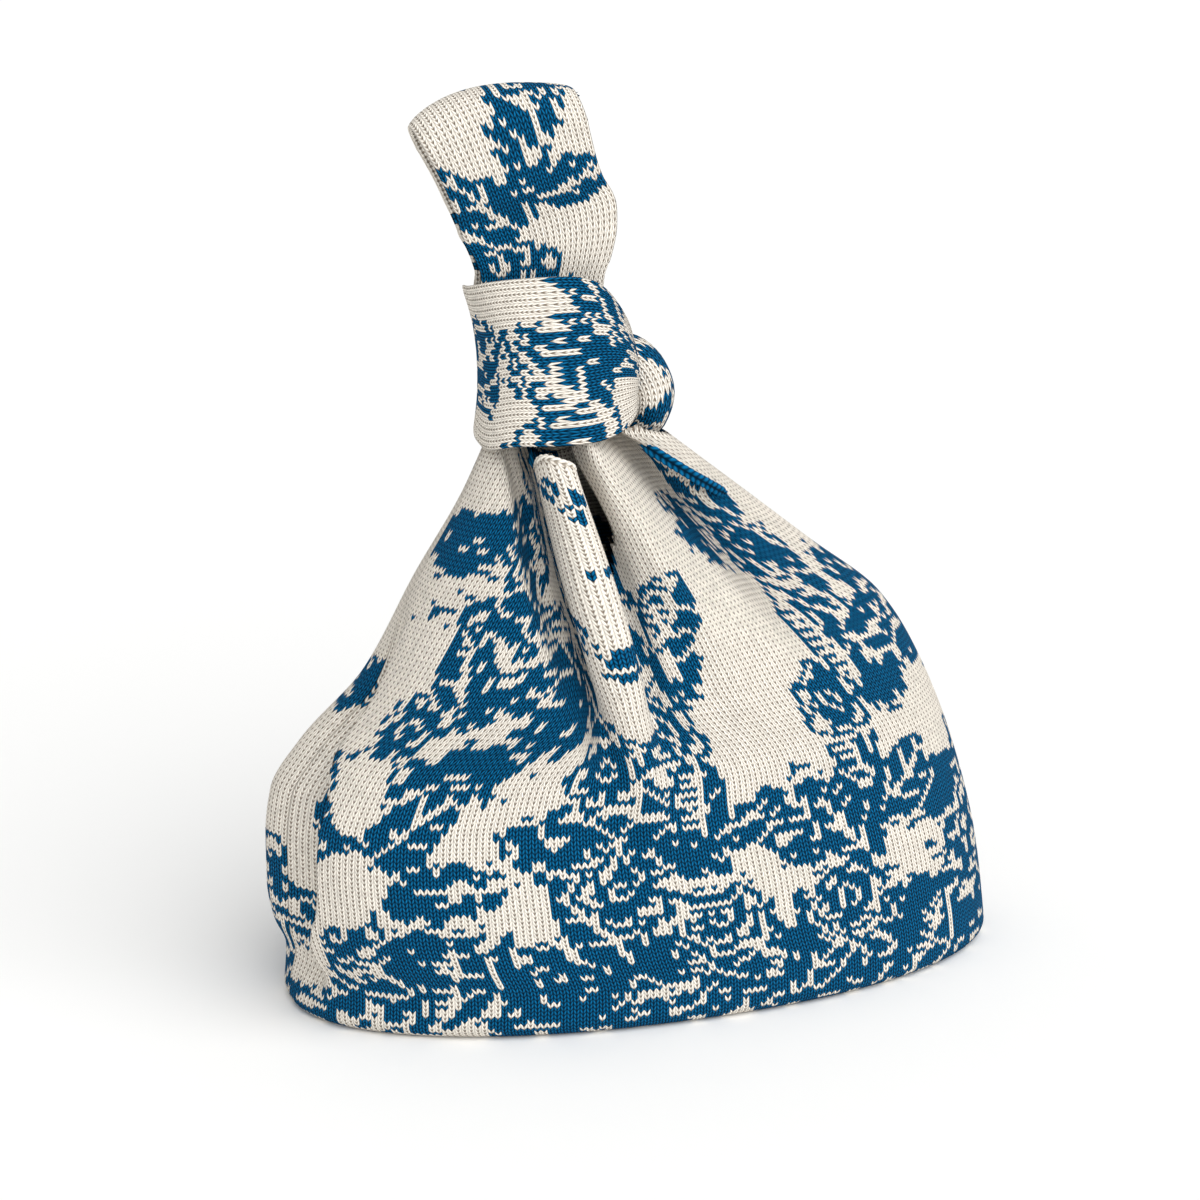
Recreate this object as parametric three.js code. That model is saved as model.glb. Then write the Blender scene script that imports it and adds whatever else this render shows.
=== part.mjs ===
import * as THREE from 'three';

// Japanese knot bag, knitted: millimetres, +Z up, front towards -Y, base on Z = 0

// Body sizes
const BAG_WIDTH = 292;
const BAG_DEPTH = 134;
const NECK_HEIGHT = 218;
const KNIT_THICKNESS = 3;
const EDGE_ROLL = 6;
const JOIN_GAP = 0.3;
const LEFT_BOX = 0.16;
const RIGHT_BOX = 0.08;
const SIDE_PINCH = 14;
const GUSSET_RIDGE = -0.42;
const GUSSET_VALLEY = -0.22;
const GUSSET_END = 0.22;
const GATHER_DEPTH = 2;
const TUCK = 4;

// Knot sizes: the short handle is a band round the long handle
const KNOT_OFFSET = -32;
const KNOT_LEAN = 8.1;
const BAND_HEIGHT = 64;
const BAND_WALL = 2.6;
const BAND_FLARE = 5.1;
const BAND_DEPTH = 44;
const BAND_TAPER = 4;
const BAND_BULGE = 1.6;
const BAND_RIGHT_DROP = 30;
const BAND_RIGHT_RISE = 9;
const BAND_BACK_DROP = 10;
const KNOT_SLIDE = 8;
const SLIDE_CLEARANCE = 0.8;
const SHOULDER_REACH = 8;
const SHOULDER_DROP = 1.5;

// Long handle sizes
const STRAP_WIDTH = 47.4;
const STRAP_FLARE = 3;
const STRAP_PLY = 6;
const LOOP_LEAN = 13;
const LOOP_RISE = 44;
const LOOP_TOP_WIDTH = 63;
const LOOP_DEPTH = 25;
const LOOP_PLY = 3.2;
const HINGE_RADIUS = 5;
const HINGE_CLEARANCE = 6;

// Front folds: each has its place right of the knot's middle, its lean and its size
const PLEAT_OFFSET = -8;
const PLEAT_LEAN = 0.19;
const PLEAT_WIDTH = 21;
const PLEAT_TIP_WIDTH = 16;
const PLEAT_HEIGHT = 14;
const CREASE_DEPTH = 5.6;
const SIDE_FOLD_OFFSET = 6.5;
const SIDE_FOLD_LEAN = 0.53;
const SIDE_FOLD_WIDTH = 10;
const SIDE_FOLD_HEIGHT = 6;
const VALLEY_OFFSET = 21;
const VALLEY_LEAN = 0.78;
const VALLEY_WIDTH = 12;
const VALLEY_DEPTH = 9;
const RIDGE_OFFSET = 33;
const RIDGE_LEAN = 1.5;
const RIDGE_WIDTH = 9;
const RIDGE_HEIGHT = 4;
const MOUTH_DEPTH = 46;

// Cords: edge chain, joining seams and the turned leg of the short handle
const RIM_RADIUS = 1.3;
const CHAIN_TOP_DROP = 8;
const CHAIN_FOOT_DROP = 26;
const SEAM_RADIUS = 1.2;
const TURN_RADIUS = 9;
const TURN_REACH = 6;
const TURN_BACK = 14;
const TURN_RISE = 37;

// Sizes that follow from those above
const KNOT_SLOPE = Math.tan(THREE.MathUtils.degToRad(KNOT_LEAN));
const BAND_TOP_HALF = STRAP_WIDTH / 2 + SLIDE_CLEARANCE + BAND_WALL;
const BAND_FOOT_HALF = BAND_TOP_HALF + BAND_FLARE;
const NECK_LEFT = KNOT_OFFSET - BAND_FOOT_HALF + BAND_WALL + TUCK / 2;
const NECK_RIGHT = KNOT_OFFSET + BAND_FOOT_HALF + SHOULDER_REACH;
const NECK_HALF_DEPTH = BAND_DEPTH / 2 - BAND_WALL - TUCK;
const HINGE_HEIGHT = NECK_HEIGHT + BAND_HEIGHT + KNOT_SLIDE + HINGE_RADIUS + HINGE_CLEARANCE;

// How far each outline has drawn in, from the base (0) to the neck (1), against height share
const LEFT_DRAW = [
  [0, 0.035], [0.087, 0.055], [0.138, 0.005], [0.2, -0.02], [0.29, -0.02], [0.38, 0.005], [0.46, 0.13],
  [0.58, 0.42], [0.76, 0.675], [0.9, 0.885], [1, 1],
];
const RIGHT_DRAW = [
  [0, 0], [0.18, 0.038], [0.37, 0.115], [0.55, 0.23], [0.665, 0.345], [0.77, 0.55], [0.87, 0.745], [1, 1],
];
const DEPTH_DRAW = [[0, 0], [0.23, -0.03], [0.44, 0.09], [0.69, 0.44], [0.87, 0.76], [1, 1]];

// Small helpers

function smoothStep(from, to, value) {
  const share = THREE.MathUtils.clamp((value - from) / (to - from), 0, 1);
  return share * share * (3 - 2 * share);
}

function bell(centre, width, value) {
  return Math.exp(-(((value - centre) / width) ** 2));
}

// Smooth curve through the given points that never overshoots them
function curveThrough(points, at) {
  const last = points.length - 1;
  const value = THREE.MathUtils.clamp(at, points[0][0], points[last][0]);
  let i = 0;
  while (i < last - 1 && value > points[i + 1][0]) i += 1;
  const rise = (k) => (points[k + 1][1] - points[k][1]) / (points[k + 1][0] - points[k][0]);
  const slope = (k) => {
    if (k === 0) return rise(0);
    if (k === last) return rise(last - 1);
    const before = rise(k - 1);
    const after = rise(k);
    return before * after <= 0 ? 0 : (2 * before * after) / (before + after);
  };
  const span = points[i + 1][0] - points[i][0];
  const u = (value - points[i][0]) / span;
  const start = (2 * u ** 3 - 3 * u ** 2 + 1) * points[i][1] + (u ** 3 - 2 * u ** 2 + u) * span * slope(i);
  const end = (3 * u ** 2 - 2 * u ** 3) * points[i + 1][1] + (u ** 3 - u ** 2) * span * slope(i + 1);
  return start + end;
}

function geometryFrom(points, triangles) {
  const geometry = new THREE.BufferGeometry();
  geometry.setAttribute('position', new THREE.Float32BufferAttribute(points.flatMap((p) => p.toArray()), 3));
  let volume = 0;
  for (const [a, b, c] of triangles) {
    volume += points[a].dot(new THREE.Vector3().crossVectors(points[b], points[c]));
  }
  const outward = volume > 0 ? triangles : triangles.map(([a, b, c]) => [a, c, b]);
  geometry.setIndex(outward.flat());
  geometry.computeVertexNormals();
  return geometry;
}

// Closed cloth sheet: an outer grid of points and the same grid set in by the cloth's thickness
function clothSheet(columns, rows, outerPoint, thicknessAt, options = {}) {
  const { adjustNormal = (normal) => normal, keep = (point) => point } = options;
  const outer = [];
  for (let r = 0; r <= rows; r += 1) {
    for (let c = 0; c <= columns; c += 1) outer.push(outerPoint(c / columns, r / rows));
  }
  const id = (c, r) => r * (columns + 1) + c;
  const inner = outer.map((point, k) => {
    const c = k % (columns + 1);
    const r = Math.floor(k / (columns + 1));
    const across = outer[id(Math.min(c + 1, columns), r)].clone().sub(outer[id(Math.max(c - 1, 0), r)]);
    const along = outer[id(c, Math.min(r + 1, rows))].clone().sub(outer[id(c, Math.max(r - 1, 0))]);
    const normal = adjustNormal(across.cross(along).normalize(), c / columns, r / rows).normalize();
    return keep(point.clone().addScaledVector(normal, -thicknessAt(r / rows)));
  });
  const points = [...outer, ...inner];
  const shift = outer.length;
  const triangles = [];
  const quad = (a, b, c, d) => triangles.push([a, b, c], [a, c, d]);
  for (let r = 0; r < rows; r += 1) {
    for (let c = 0; c < columns; c += 1) {
      const [a, b, d, e] = [id(c, r), id(c + 1, r), id(c + 1, r + 1), id(c, r + 1)];
      quad(a, b, d, e);
      quad(e + shift, d + shift, b + shift, a + shift);
    }
  }
  for (let c = 0; c < columns; c += 1) {
    quad(id(c, 0) + shift, id(c + 1, 0) + shift, id(c + 1, 0), id(c, 0));
    quad(id(c, rows), id(c + 1, rows), id(c + 1, rows) + shift, id(c, rows) + shift);
  }
  for (let r = 0; r < rows; r += 1) {
    quad(id(0, r), id(0, r + 1), id(0, r + 1) + shift, id(0, r) + shift);
    quad(id(columns, r) + shift, id(columns, r + 1) + shift, id(columns, r + 1), id(columns, r));
  }
  return geometryFrom(points, triangles);
}

// Solid from a run of closed loops, capped at both ends or joined end to end
function loopsSolid(loops, joined = false) {
  const points = loops.flat();
  const sides = loops[0].length;
  const triangles = [];
  const runs = joined ? loops.length : loops.length - 1;
  for (let k = 0; k < runs; k += 1) {
    const next = (k + 1) % loops.length;
    for (let s = 0; s < sides; s += 1) {
      const t = (s + 1) % sides;
      const [a, b] = [k * sides + s, k * sides + t];
      const [c, d] = [next * sides + t, next * sides + s];
      triangles.push([a, b, c], [a, c, d]);
    }
  }
  if (!joined) {
    for (const k of [0, loops.length - 1]) {
      const centre = loops[k].reduce((sum, p) => sum.add(p), new THREE.Vector3()).divideScalar(sides);
      const middle = points.push(centre) - 1;
      for (let s = 0; s < sides; s += 1) {
        const [a, b] = [k * sides + s, k * sides + ((s + 1) % sides)];
        triangles.push(k === 0 ? [middle, b, a] : [middle, a, b]);
      }
    }
  }
  return geometryFrom(points, triangles);
}

// Round cord along a path; its size may change along the way. A flat cord lies level and joins end to end
function cord(path, radiusAt, sides = 6, flat = false) {
  const count = path.length;
  const loops = path.map((point, k) => {
    const before = flat ? path[(k + count - 1) % count] : path[Math.max(k - 1, 0)];
    const after = flat ? path[(k + 1) % count] : path[Math.min(k + 1, count - 1)];
    const along = after.clone().sub(before).normalize();
    const helper = flat ? new THREE.Vector3(0, 0, 1) : new THREE.Vector3(0, 1, 0);
    const first = new THREE.Vector3().crossVectors(along, helper).normalize();
    const second = new THREE.Vector3().crossVectors(along, first);
    const radius = radiusAt(k / (count - 1));
    return Array.from({ length: sides }, (_, s) => {
      const turn = (2 * Math.PI * s) / sides;
      return point.clone()
        .addScaledVector(first, radius * Math.cos(turn))
        .addScaledVector(second, radius * Math.sin(turn));
    });
  });
  return loopsSolid(loops, flat);
}

// Body outline at a height

function bodyOutline(z) {
  const share = z / NECK_HEIGHT;
  const half = BAG_WIDTH / 2;
  return {
    middle: KNOT_OFFSET * smoothStep(0, 1, share),
    left: THREE.MathUtils.lerp(-half, NECK_LEFT, curveThrough(LEFT_DRAW, share)),
    right: THREE.MathUtils.lerp(half, NECK_RIGHT, curveThrough(RIGHT_DRAW, share)),
    depth: THREE.MathUtils.lerp(BAG_DEPTH / 2, NECK_HALF_DEPTH, curveThrough(DEPTH_DRAW, share)),
  };
}

// The left gusset is folded in behind a ridge, at set shares of the outline's depth
function sidePinch(y, z) {
  const share = z / NECK_HEIGHT;
  const deep = y / bodyOutline(z).depth;
  const ramp = THREE.MathUtils.clamp((deep - GUSSET_RIDGE) / (GUSSET_VALLEY - GUSSET_RIDGE), 0, 1);
  const foldedIn = ramp * smoothStep(GUSSET_END, GUSSET_VALLEY, deep);
  return SIDE_PINCH * smoothStep(0.06, 0.2, share) * smoothStep(0.76, 0.5, share) * foldedIn;
}

// 1 is a plain oval; less is boxier, low down and most of all on the left side
function cornerPower(across, z) {
  const share = z / NECK_HEIGHT;
  return 1 - (across < 0 ? LEFT_BOX * bell(0.2, 0.28, share) : RIGHT_BOX * bell(0, 0.3, share));
}

// Point on the outline: turn runs 0 to 1 from the left seam to the right seam
function outlinePoint(turn, z, side, inset) {
  const { middle, left, right, depth } = bodyOutline(z);
  const cosine = -Math.cos(Math.PI * turn);
  const sine = Math.max(Math.sin(Math.PI * turn), 0);
  const power = cornerPower(cosine, z);
  const reach = cosine < 0 ? middle - left : right - middle;
  const x = middle + reach * Math.sign(cosine) * Math.abs(cosine) ** power;
  const y = side * depth * sine ** power;
  const normalX = (Math.sign(cosine) * Math.abs(cosine) ** (2 - power)) / reach;
  const normalY = (side * sine ** (2 - power)) / depth;
  return new THREE.Vector2(x, y).addScaledVector(new THREE.Vector2(normalX, normalY).normalize(), -inset);
}

function turnAt(x, z) {
  const { middle, left, right } = bodyOutline(z);
  const reach = x < middle ? middle - left : right - middle;
  const across = THREE.MathUtils.clamp((x - middle) / reach, -1, 1);
  const cosine = Math.sign(across) * Math.abs(across) ** (1 / cornerPower(across, z));
  return Math.acos(-cosine) / Math.PI;
}

// Turn at which the outline reaches the ridge of the left gusset
function gussetTurn(z) {
  return Math.asin((-GUSSET_RIDGE) ** (1 / cornerPower(-1, z))) / Math.PI;
}

// Lines the front folds follow, from the knot down, and the pleat's half width
const foldLine = (offset, lean) => (z) => KNOT_OFFSET + offset + (NECK_HEIGHT - z) * lean;
const pleatX = foldLine(PLEAT_OFFSET, PLEAT_LEAN);
const sideFoldX = foldLine(SIDE_FOLD_OFFSET, SIDE_FOLD_LEAN);
const valleyX = foldLine(VALLEY_OFFSET, VALLEY_LEAN);
const ridgeX = foldLine(RIDGE_OFFSET, RIDGE_LEAN);

function pleatHalf(z) {
  const tip = smoothStep(0.75, 1, z / NECK_HEIGHT);
  return THREE.MathUtils.lerp(PLEAT_WIDTH, PLEAT_TIP_WIDTH, tip) / 2;
}

// How far the folds stand out of the plain outline: a finger-like roll between two creases,
// a softer fold, a valley and the ridge of the shoulder
function frontFold(x, z) {
  const share = z / NECK_HEIGHT;
  const offset = (x - pleatX(z)) / pleatHalf(z);
  const roll = Math.sqrt(Math.max(0, 1 - offset * offset));
  const soft = bell(0, 0.95, offset);
  const tight = smoothStep(0.45, 0.75, share);
  const pleat = PLEAT_HEIGHT * smoothStep(0.28, 0.8, share) * (tight * roll + (1 - tight) * soft);
  const besidePleat = bell(-1.55, 0.55, offset) + bell(1.5, 0.4, offset);
  const creases = CREASE_DEPTH * smoothStep(0.5, 0.87, share) * besidePleat;
  const sideFold = SIDE_FOLD_HEIGHT * smoothStep(0.46, 0.83, share) * bell(sideFoldX(z), SIDE_FOLD_WIDTH, x);
  const valley = VALLEY_DEPTH * smoothStep(0.55, 0.85, share) * bell(valleyX(z), VALLEY_WIDTH, x);
  const ridge = RIDGE_HEIGHT * smoothStep(0.78, 0.9, share) * bell(ridgeX(z), RIDGE_WIDTH, x);
  return pleat - creases + sideFold - valley + ridge;
}

// Soft gathers that run down the back from the knot
function backFold(turn, z) {
  const gathers = Math.cos(2 * Math.PI * (4.5 * turn + 0.1)) + 0.5 * Math.cos(2 * Math.PI * (8 * turn + 0.4));
  return GATHER_DEPTH * smoothStep(0.55, 0.95, z / NECK_HEIGHT) * gathers;
}

// Front panel columns follow the folds, so that the pleat keeps its width all the way down
const GUSSET_COLUMN = 0.1;
const PLEAT_COLUMNS = [0.3, 0.4, 0.5];
const SIDE_FOLD_COLUMN = 0.6;

function frontTurn(column, z) {
  const half = pleatHalf(z);
  const stops = [
    [0, 0],
    [GUSSET_COLUMN, gussetTurn(z)],
    [PLEAT_COLUMNS[0], turnAt(pleatX(z) - half, z)],
    [PLEAT_COLUMNS[1], turnAt(pleatX(z), z)],
    [PLEAT_COLUMNS[2], turnAt(pleatX(z) + half, z)],
    [SIDE_FOLD_COLUMN, turnAt(sideFoldX(z), z)],
    [1, 1],
  ];
  return curveThrough(stops, column);
}

// Height of the front panel's upper edge: tucked under the knot, arched over the pleat, open at the mouth
const FRONT_EDGE = [
  [0, TUCK], [0.2, TUCK], [0.3, -7], [0.35, -5], [0.4, -4], [0.45, -6], [0.475, -13],
  [0.5, -MOUTH_DEPTH], [0.55, -MOUTH_DEPTH], [0.575, -7],
  [SIDE_FOLD_COLUMN, -SHOULDER_DROP], [1, -SHOULDER_DROP],
];
const BACK_EDGE = [
  [0, TUCK], [0.25, TUCK], [0.35, -5], [0.5, -9], [0.62, -6], [0.72, -SHOULDER_DROP], [1, -SHOULDER_DROP],
];

// Panels turn under at the base and then rise to their upper edge
const PANEL_ROWS = 18;
const ROLL_SHARE = 3 / PANEL_ROWS;
const FRONT_COLUMNS = 40;
const BACK_COLUMNS = 32;

function panelPoint(side, column, row, turnFor, edge) {
  const roll = Math.min(row / ROLL_SHARE, 1) * Math.PI / 2;
  const rise = Math.max(row - ROLL_SHARE, 0) / (1 - ROLL_SHARE);
  const top = NECK_HEIGHT + curveThrough(edge, column);
  const z = EDGE_ROLL * (1 - Math.cos(roll)) + rise * (top - EDGE_ROLL);
  const inset = EDGE_ROLL * (1 - Math.sin(roll));
  const turn = turnFor(column, z);
  const plan = outlinePoint(turn, z, side, inset);
  const clear = smoothStep(0, 0.12, turn) * smoothStep(1, 0.88, turn);
  const out = (side < 0 ? frontFold(plan.x, z) : backFold(turn, z)) * clear;
  const fold = Math.max(out, -0.5 * Math.abs(plan.y));
  const y = plan.y + side * (fold + JOIN_GAP / 2);
  const pinch = turn < 0.5 ? sidePinch(plan.y, z) : 0;
  return new THREE.Vector3(plan.x + pinch, y, z);
}

const frontPoint = (column, row) => panelPoint(-1, column, row, frontTurn, FRONT_EDGE);
const backPoint = (column, row) => panelPoint(1, 1 - column, row, (turn) => turn, BACK_EDGE);

// Cloth edges at the side seams stay square to the seam
function squareAtSeams(normal, column, row) {
  if (column === 0 || column === 1) normal.y = 0;
  if (row === 0) normal.set(0, 0, -1);
  return normal;
}

// Near the narrow ends of the outline the inner face stops at the seam plane
function panel(side, point, columns) {
  const keep = (inner) => inner.setY(side * Math.max(side * inner.y, JOIN_GAP / 2));
  const options = { adjustNormal: squareAtSeams, keep };
  return clothSheet(columns, PANEL_ROWS, point, () => KNIT_THICKNESS, options);
}

// Base: a flat oval set inside the rolled lower edge of the panels
function baseOutline(inset, z, count) {
  return Array.from({ length: count }, (_, k) => {
    const around = (2 * k) / count;
    const side = around < 1 ? -1 : 1;
    const turn = around < 1 ? around : 2 - around;
    const plan = outlinePoint(turn, 0, side, inset);
    return new THREE.Vector3(plan.x, plan.y, z);
  });
}

const BASE_SIDES = 56;

function basePanel() {
  const inset = EDGE_ROLL + 2 * JOIN_GAP;
  return loopsSolid([baseOutline(inset, 0, BASE_SIDES), baseOutline(inset, KNIT_THICKNESS, BASE_SIDES)]);
}

function baseSeam() {
  const inset = EDGE_ROLL + 2 * SEAM_RADIUS + JOIN_GAP;
  const path = baseOutline(inset, KNIT_THICKNESS + SEAM_RADIUS + JOIN_GAP, BASE_SIDES);
  return cord(path, () => SEAM_RADIUS, 6, true);
}

// Side seams: a cord on the inner face where the two panels meet; the pinched left one needs more room
function sideSeam(end) {
  const low = EDGE_ROLL + 2 * SEAM_RADIUS;
  const high = NECK_HEIGHT * 0.84;
  const count = 22;
  const clearance = (end === 0 ? 6 : 3) * JOIN_GAP;
  const pinched = (z) => (end === 0 ? sidePinch(0, z) : 0);
  const at = (z) => new THREE.Vector3(outlinePoint(end, z, -1, 0).x + pinched(z), 0, z);
  const path = Array.from({ length: count + 1 }, (_, k) => {
    const z = THREE.MathUtils.lerp(low, high, k / count);
    const along = at(z + 1).sub(at(z - 1)).normalize();
    const inward = new THREE.Vector3(along.z, 0, -along.x).multiplyScalar(end === 0 ? 1 : -1);
    return at(z).addScaledVector(inward, KNIT_THICKNESS + SEAM_RADIUS + clearance);
  });
  return cord(path, () => SEAM_RADIUS);
}

// Edge chain of the mouth: a cord that lies on a share of a panel's upper edge, column by column
const FRONT_RIM = [0.3, 0.45];
const BACK_RIM = [0.345, 0.655];

function mouthRim(point, columns, shares) {
  const [from, to] = shares.map((share) => Math.round(share * columns));
  const path = Array.from({ length: to - from + 1 }, (_, k) => {
    const at = (step, row) => point((from + k + step) / columns, row);
    const along = at(1, 1).sub(at(-1, 1)).normalize();
    const rise = at(0, 1).sub(at(0, 0.98)).normalize();
    const normal = new THREE.Vector3().crossVectors(along, rise).normalize();
    const away = new THREE.Vector3().crossVectors(normal, along).normalize();
    return at(0, 1)
      .addScaledVector(normal, -KNIT_THICKNESS / 2)
      .addScaledVector(away, RIM_RADIUS + 2 * JOIN_GAP);
  });
  return cord(path, () => RIM_RADIUS);
}

// Point on the front's outer face, and the way out of the cloth there
function frontSurface(x, z) {
  const turn = turnAt(x, z);
  return new THREE.Vector3(x, outlinePoint(turn, z, -1, 0).y - frontFold(x, z) - JOIN_GAP / 2, z);
}

function frontOutward(x, z) {
  const across = frontSurface(x + 1, z).sub(frontSurface(x - 1, z));
  const up = frontSurface(x, z + 1).sub(frontSurface(x, z - 1));
  return across.cross(up).normalize();
}

// Edge chain of the shoulder: a cord along the lower side of the ridge, on the front's face
function shoulderChain() {
  const count = 8;
  const path = Array.from({ length: count + 1 }, (_, k) => {
    const z = NECK_HEIGHT - THREE.MathUtils.lerp(CHAIN_TOP_DROP, CHAIN_FOOT_DROP, k / count);
    const x = ridgeX(z) - RIDGE_WIDTH;
    return frontSurface(x, z).addScaledVector(frontOutward(x, z), RIM_RADIUS + 2 * JOIN_GAP);
  });
  return cord(path, () => RIM_RADIUS);
}

// The knot and the long handle share one leaning axis
const axisX = (z) => KNOT_OFFSET - (z - NECK_HEIGHT) * KNOT_SLOPE;
const HINGE_X = axisX(HINGE_HEIGHT);

// Knot band: turn runs round the long handle from the right, over the back, the left and the front
function bandPoint(turn, row) {
  const angle = 2 * Math.PI * turn;
  const right = bell(0, 0.11, turn - Math.round(turn));
  const backward = (1 + Math.sin(angle)) / 2;
  const low = NECK_HEIGHT + BAND_RIGHT_RISE * right;
  const high = NECK_HEIGHT + BAND_HEIGHT - BAND_RIGHT_DROP * right - BAND_BACK_DROP * backward * (1 - right);
  const z = THREE.MathUtils.lerp(low, high, row);
  const share = (z - NECK_HEIGHT) / BAND_HEIGHT;
  const bulge = BAND_BULGE * Math.sin(Math.PI * row);
  const half = THREE.MathUtils.lerp(BAND_FOOT_HALF, BAND_TOP_HALF, share) + bulge;
  const deep = BAND_DEPTH / 2 - BAND_TAPER * share + bulge;
  const round = (value) => Math.sign(value) * Math.abs(value) ** 0.86;
  return new THREE.Vector3(axisX(z) + half * round(Math.cos(angle)), deep * round(Math.sin(angle)), z);
}

const BAND_SPLIT = [0.055, 0.41];

function bandPart(from, to, columns) {
  const gap = JOIN_GAP / (Math.PI * 2 * BAND_TOP_HALF);
  const turnOf = (column) => THREE.MathUtils.lerp(from + gap, to - gap, column);
  const step = 0.01;
  const trueNormal = (normal, column, row) => {
    const around = bandPoint(turnOf(column) + step, row).sub(bandPoint(turnOf(column) - step, row));
    return normal.crossVectors(around, bandPoint(turnOf(column), 1).sub(bandPoint(turnOf(column), 0)));
  };
  const point = (column, row) => bandPoint(turnOf(column), row);
  return clothSheet(columns, 6, point, () => BAND_WALL, { adjustNormal: trueNormal });
}

// Linking ridge where the two halves of the short handle meet behind the knot
function bandSeam() {
  const path = Array.from({ length: 9 }, (_, k) => {
    const point = bandPoint(BAND_SPLIT[1], 0.06 + 0.88 * (k / 8));
    const outward = new THREE.Vector3(point.x - axisX(point.z), point.y, 0).normalize();
    return point.addScaledVector(outward, SEAM_RADIUS + JOIN_GAP);
  });
  return cord(path, () => SEAM_RADIUS);
}

// Turned leg of the short handle: the roll at the right of the knot that drops to the back shoulder
function turnedLeg() {
  const right = KNOT_OFFSET + BAND_FOOT_HALF;
  const stop = (reach, back, rise) => (
    new THREE.Vector3(right + reach * TURN_REACH, back * TURN_BACK, NECK_HEIGHT + rise * TURN_RISE)
  );
  const curve = new THREE.CatmullRomCurve3([
    stop(-0.67, 1, 1), stop(0.7, 0.57, 0.73), stop(1, 0.43, 0.41), stop(1, 0.57, 0.11),
  ]);
  const radius = (share) => TURN_RADIUS * (0.35 + 0.65 * Math.sin(Math.PI * (0.12 + 0.76 * share)));
  return cord(curve.getPoints(12), radius, 12);
}

// Long handle: two plies side by side through the knot, then a loop that hinges above it.
// Loop frame: across the band, which is also the hinge line, and up the band
const loopLean = THREE.MathUtils.degToRad(LOOP_LEAN);
const LOOP_ACROSS = new THREE.Vector3(Math.cos(loopLean), 0, Math.sin(loopLean));
const LOOP_UP = new THREE.Vector3(-Math.sin(loopLean), 0, Math.cos(loopLean));

function strapPly(side) {
  const low = NECK_HEIGHT + TUCK + JOIN_GAP;
  const foot = new THREE.Vector3(axisX(low), 0, low);
  const head = new THREE.Vector3(HINGE_X, 0, HINGE_HEIGHT);
  head.addScaledVector(LOOP_UP, -HINGE_RADIUS - JOIN_GAP);
  const point = (column, row) => {
    const across = (side < 0 ? column : 1 - column) - 0.5;
    const start = foot.clone().setX(foot.x + across * STRAP_WIDTH);
    const width = STRAP_WIDTH + STRAP_FLARE * smoothStep(0.9, 1, row);
    const end = head.clone().addScaledVector(LOOP_ACROSS, across * width);
    const edge = 1 - (2 * across) ** 6;
    return start.lerp(end, row).setY(side * (JOIN_GAP / 2 + STRAP_PLY * (0.75 + 0.25 * edge)));
  };
  const flat = (normal) => normal.set(0, side, 0);
  return clothSheet(8, 8, point, () => STRAP_PLY * 0.75, { adjustNormal: flat });
}

// Side view of the loop: half depth against share of the rise, closing over the top
function loopProfile(share) {
  const bend = LOOP_DEPTH / 2;
  const start = -(HINGE_RADIUS - 0.4);
  const straight = LOOP_RISE - bend;
  const up = Math.min(share / 0.7, 1);
  if (share < 0.7) {
    const height = THREE.MathUtils.lerp(start, straight, up);
    const deep = curveThrough([[start, 1.9], [0, 4.7], [10, 9], [straight, bend]], height);
    return [deep, height];
  }
  const turn = ((share - 0.7) / 0.3) * (Math.PI / 2);
  return [bend * Math.cos(turn), straight + bend * Math.sin(turn)];
}

function loopPoint(side, column, share) {
  const across = side < 0 ? column : 1 - column;
  const [deep, height] = loopProfile(share);
  const spread = Math.min(Math.max(height / LOOP_RISE, 0) / 0.8, 1);
  const width = THREE.MathUtils.lerp(STRAP_WIDTH + STRAP_FLARE, LOOP_TOP_WIDTH, spread ** 0.8);
  return new THREE.Vector3(HINGE_X, side * (deep + JOIN_GAP / 2), HINGE_HEIGHT)
    .addScaledVector(LOOP_ACROSS, (across - 0.5) * width)
    .addScaledVector(LOOP_UP, height);
}

function loopPly(side) {
  const point = (column, row) => loopPoint(side, column, row);
  const square = (normal, column, row) => {
    if (row === 1) normal.copy(LOOP_UP);
    if (row === 0) normal.set(0, side, 0);
    return normal;
  };
  const taper = (row) => LOOP_PLY * THREE.MathUtils.lerp(0.45, 1, smoothStep(0, 0.2, row));
  return clothSheet(8, 14, point, taper, { adjustNormal: square });
}

// Linking ridge across the top of the loop, on its inner side
function loopSeam() {
  const height = LOOP_RISE - LOOP_PLY - SEAM_RADIUS - JOIN_GAP;
  const path = [-0.46, -0.23, 0, 0.23, 0.46].map((across) => (
    new THREE.Vector3(HINGE_X, 0, HINGE_HEIGHT)
      .addScaledVector(LOOP_ACROSS, across * LOOP_TOP_WIDTH)
      .addScaledVector(LOOP_UP, height)
  ));
  return cord(path, () => SEAM_RADIUS);
}

// Assembly

const KNIT_COLOUR = 0x7f9db0;
const IVORY_COLOUR = 0xe8e1d5;
const BLUE_COLOUR = 0x11557f;

const bag = new THREE.Group();
bag.name = 'knot_bag';

function add(name, geometry, colour) {
  const material = new THREE.MeshStandardMaterial({ color: colour, roughness: 0.9 });
  const mesh = new THREE.Mesh(geometry, material);
  mesh.name = name;
  bag.add(mesh);
}

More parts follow.
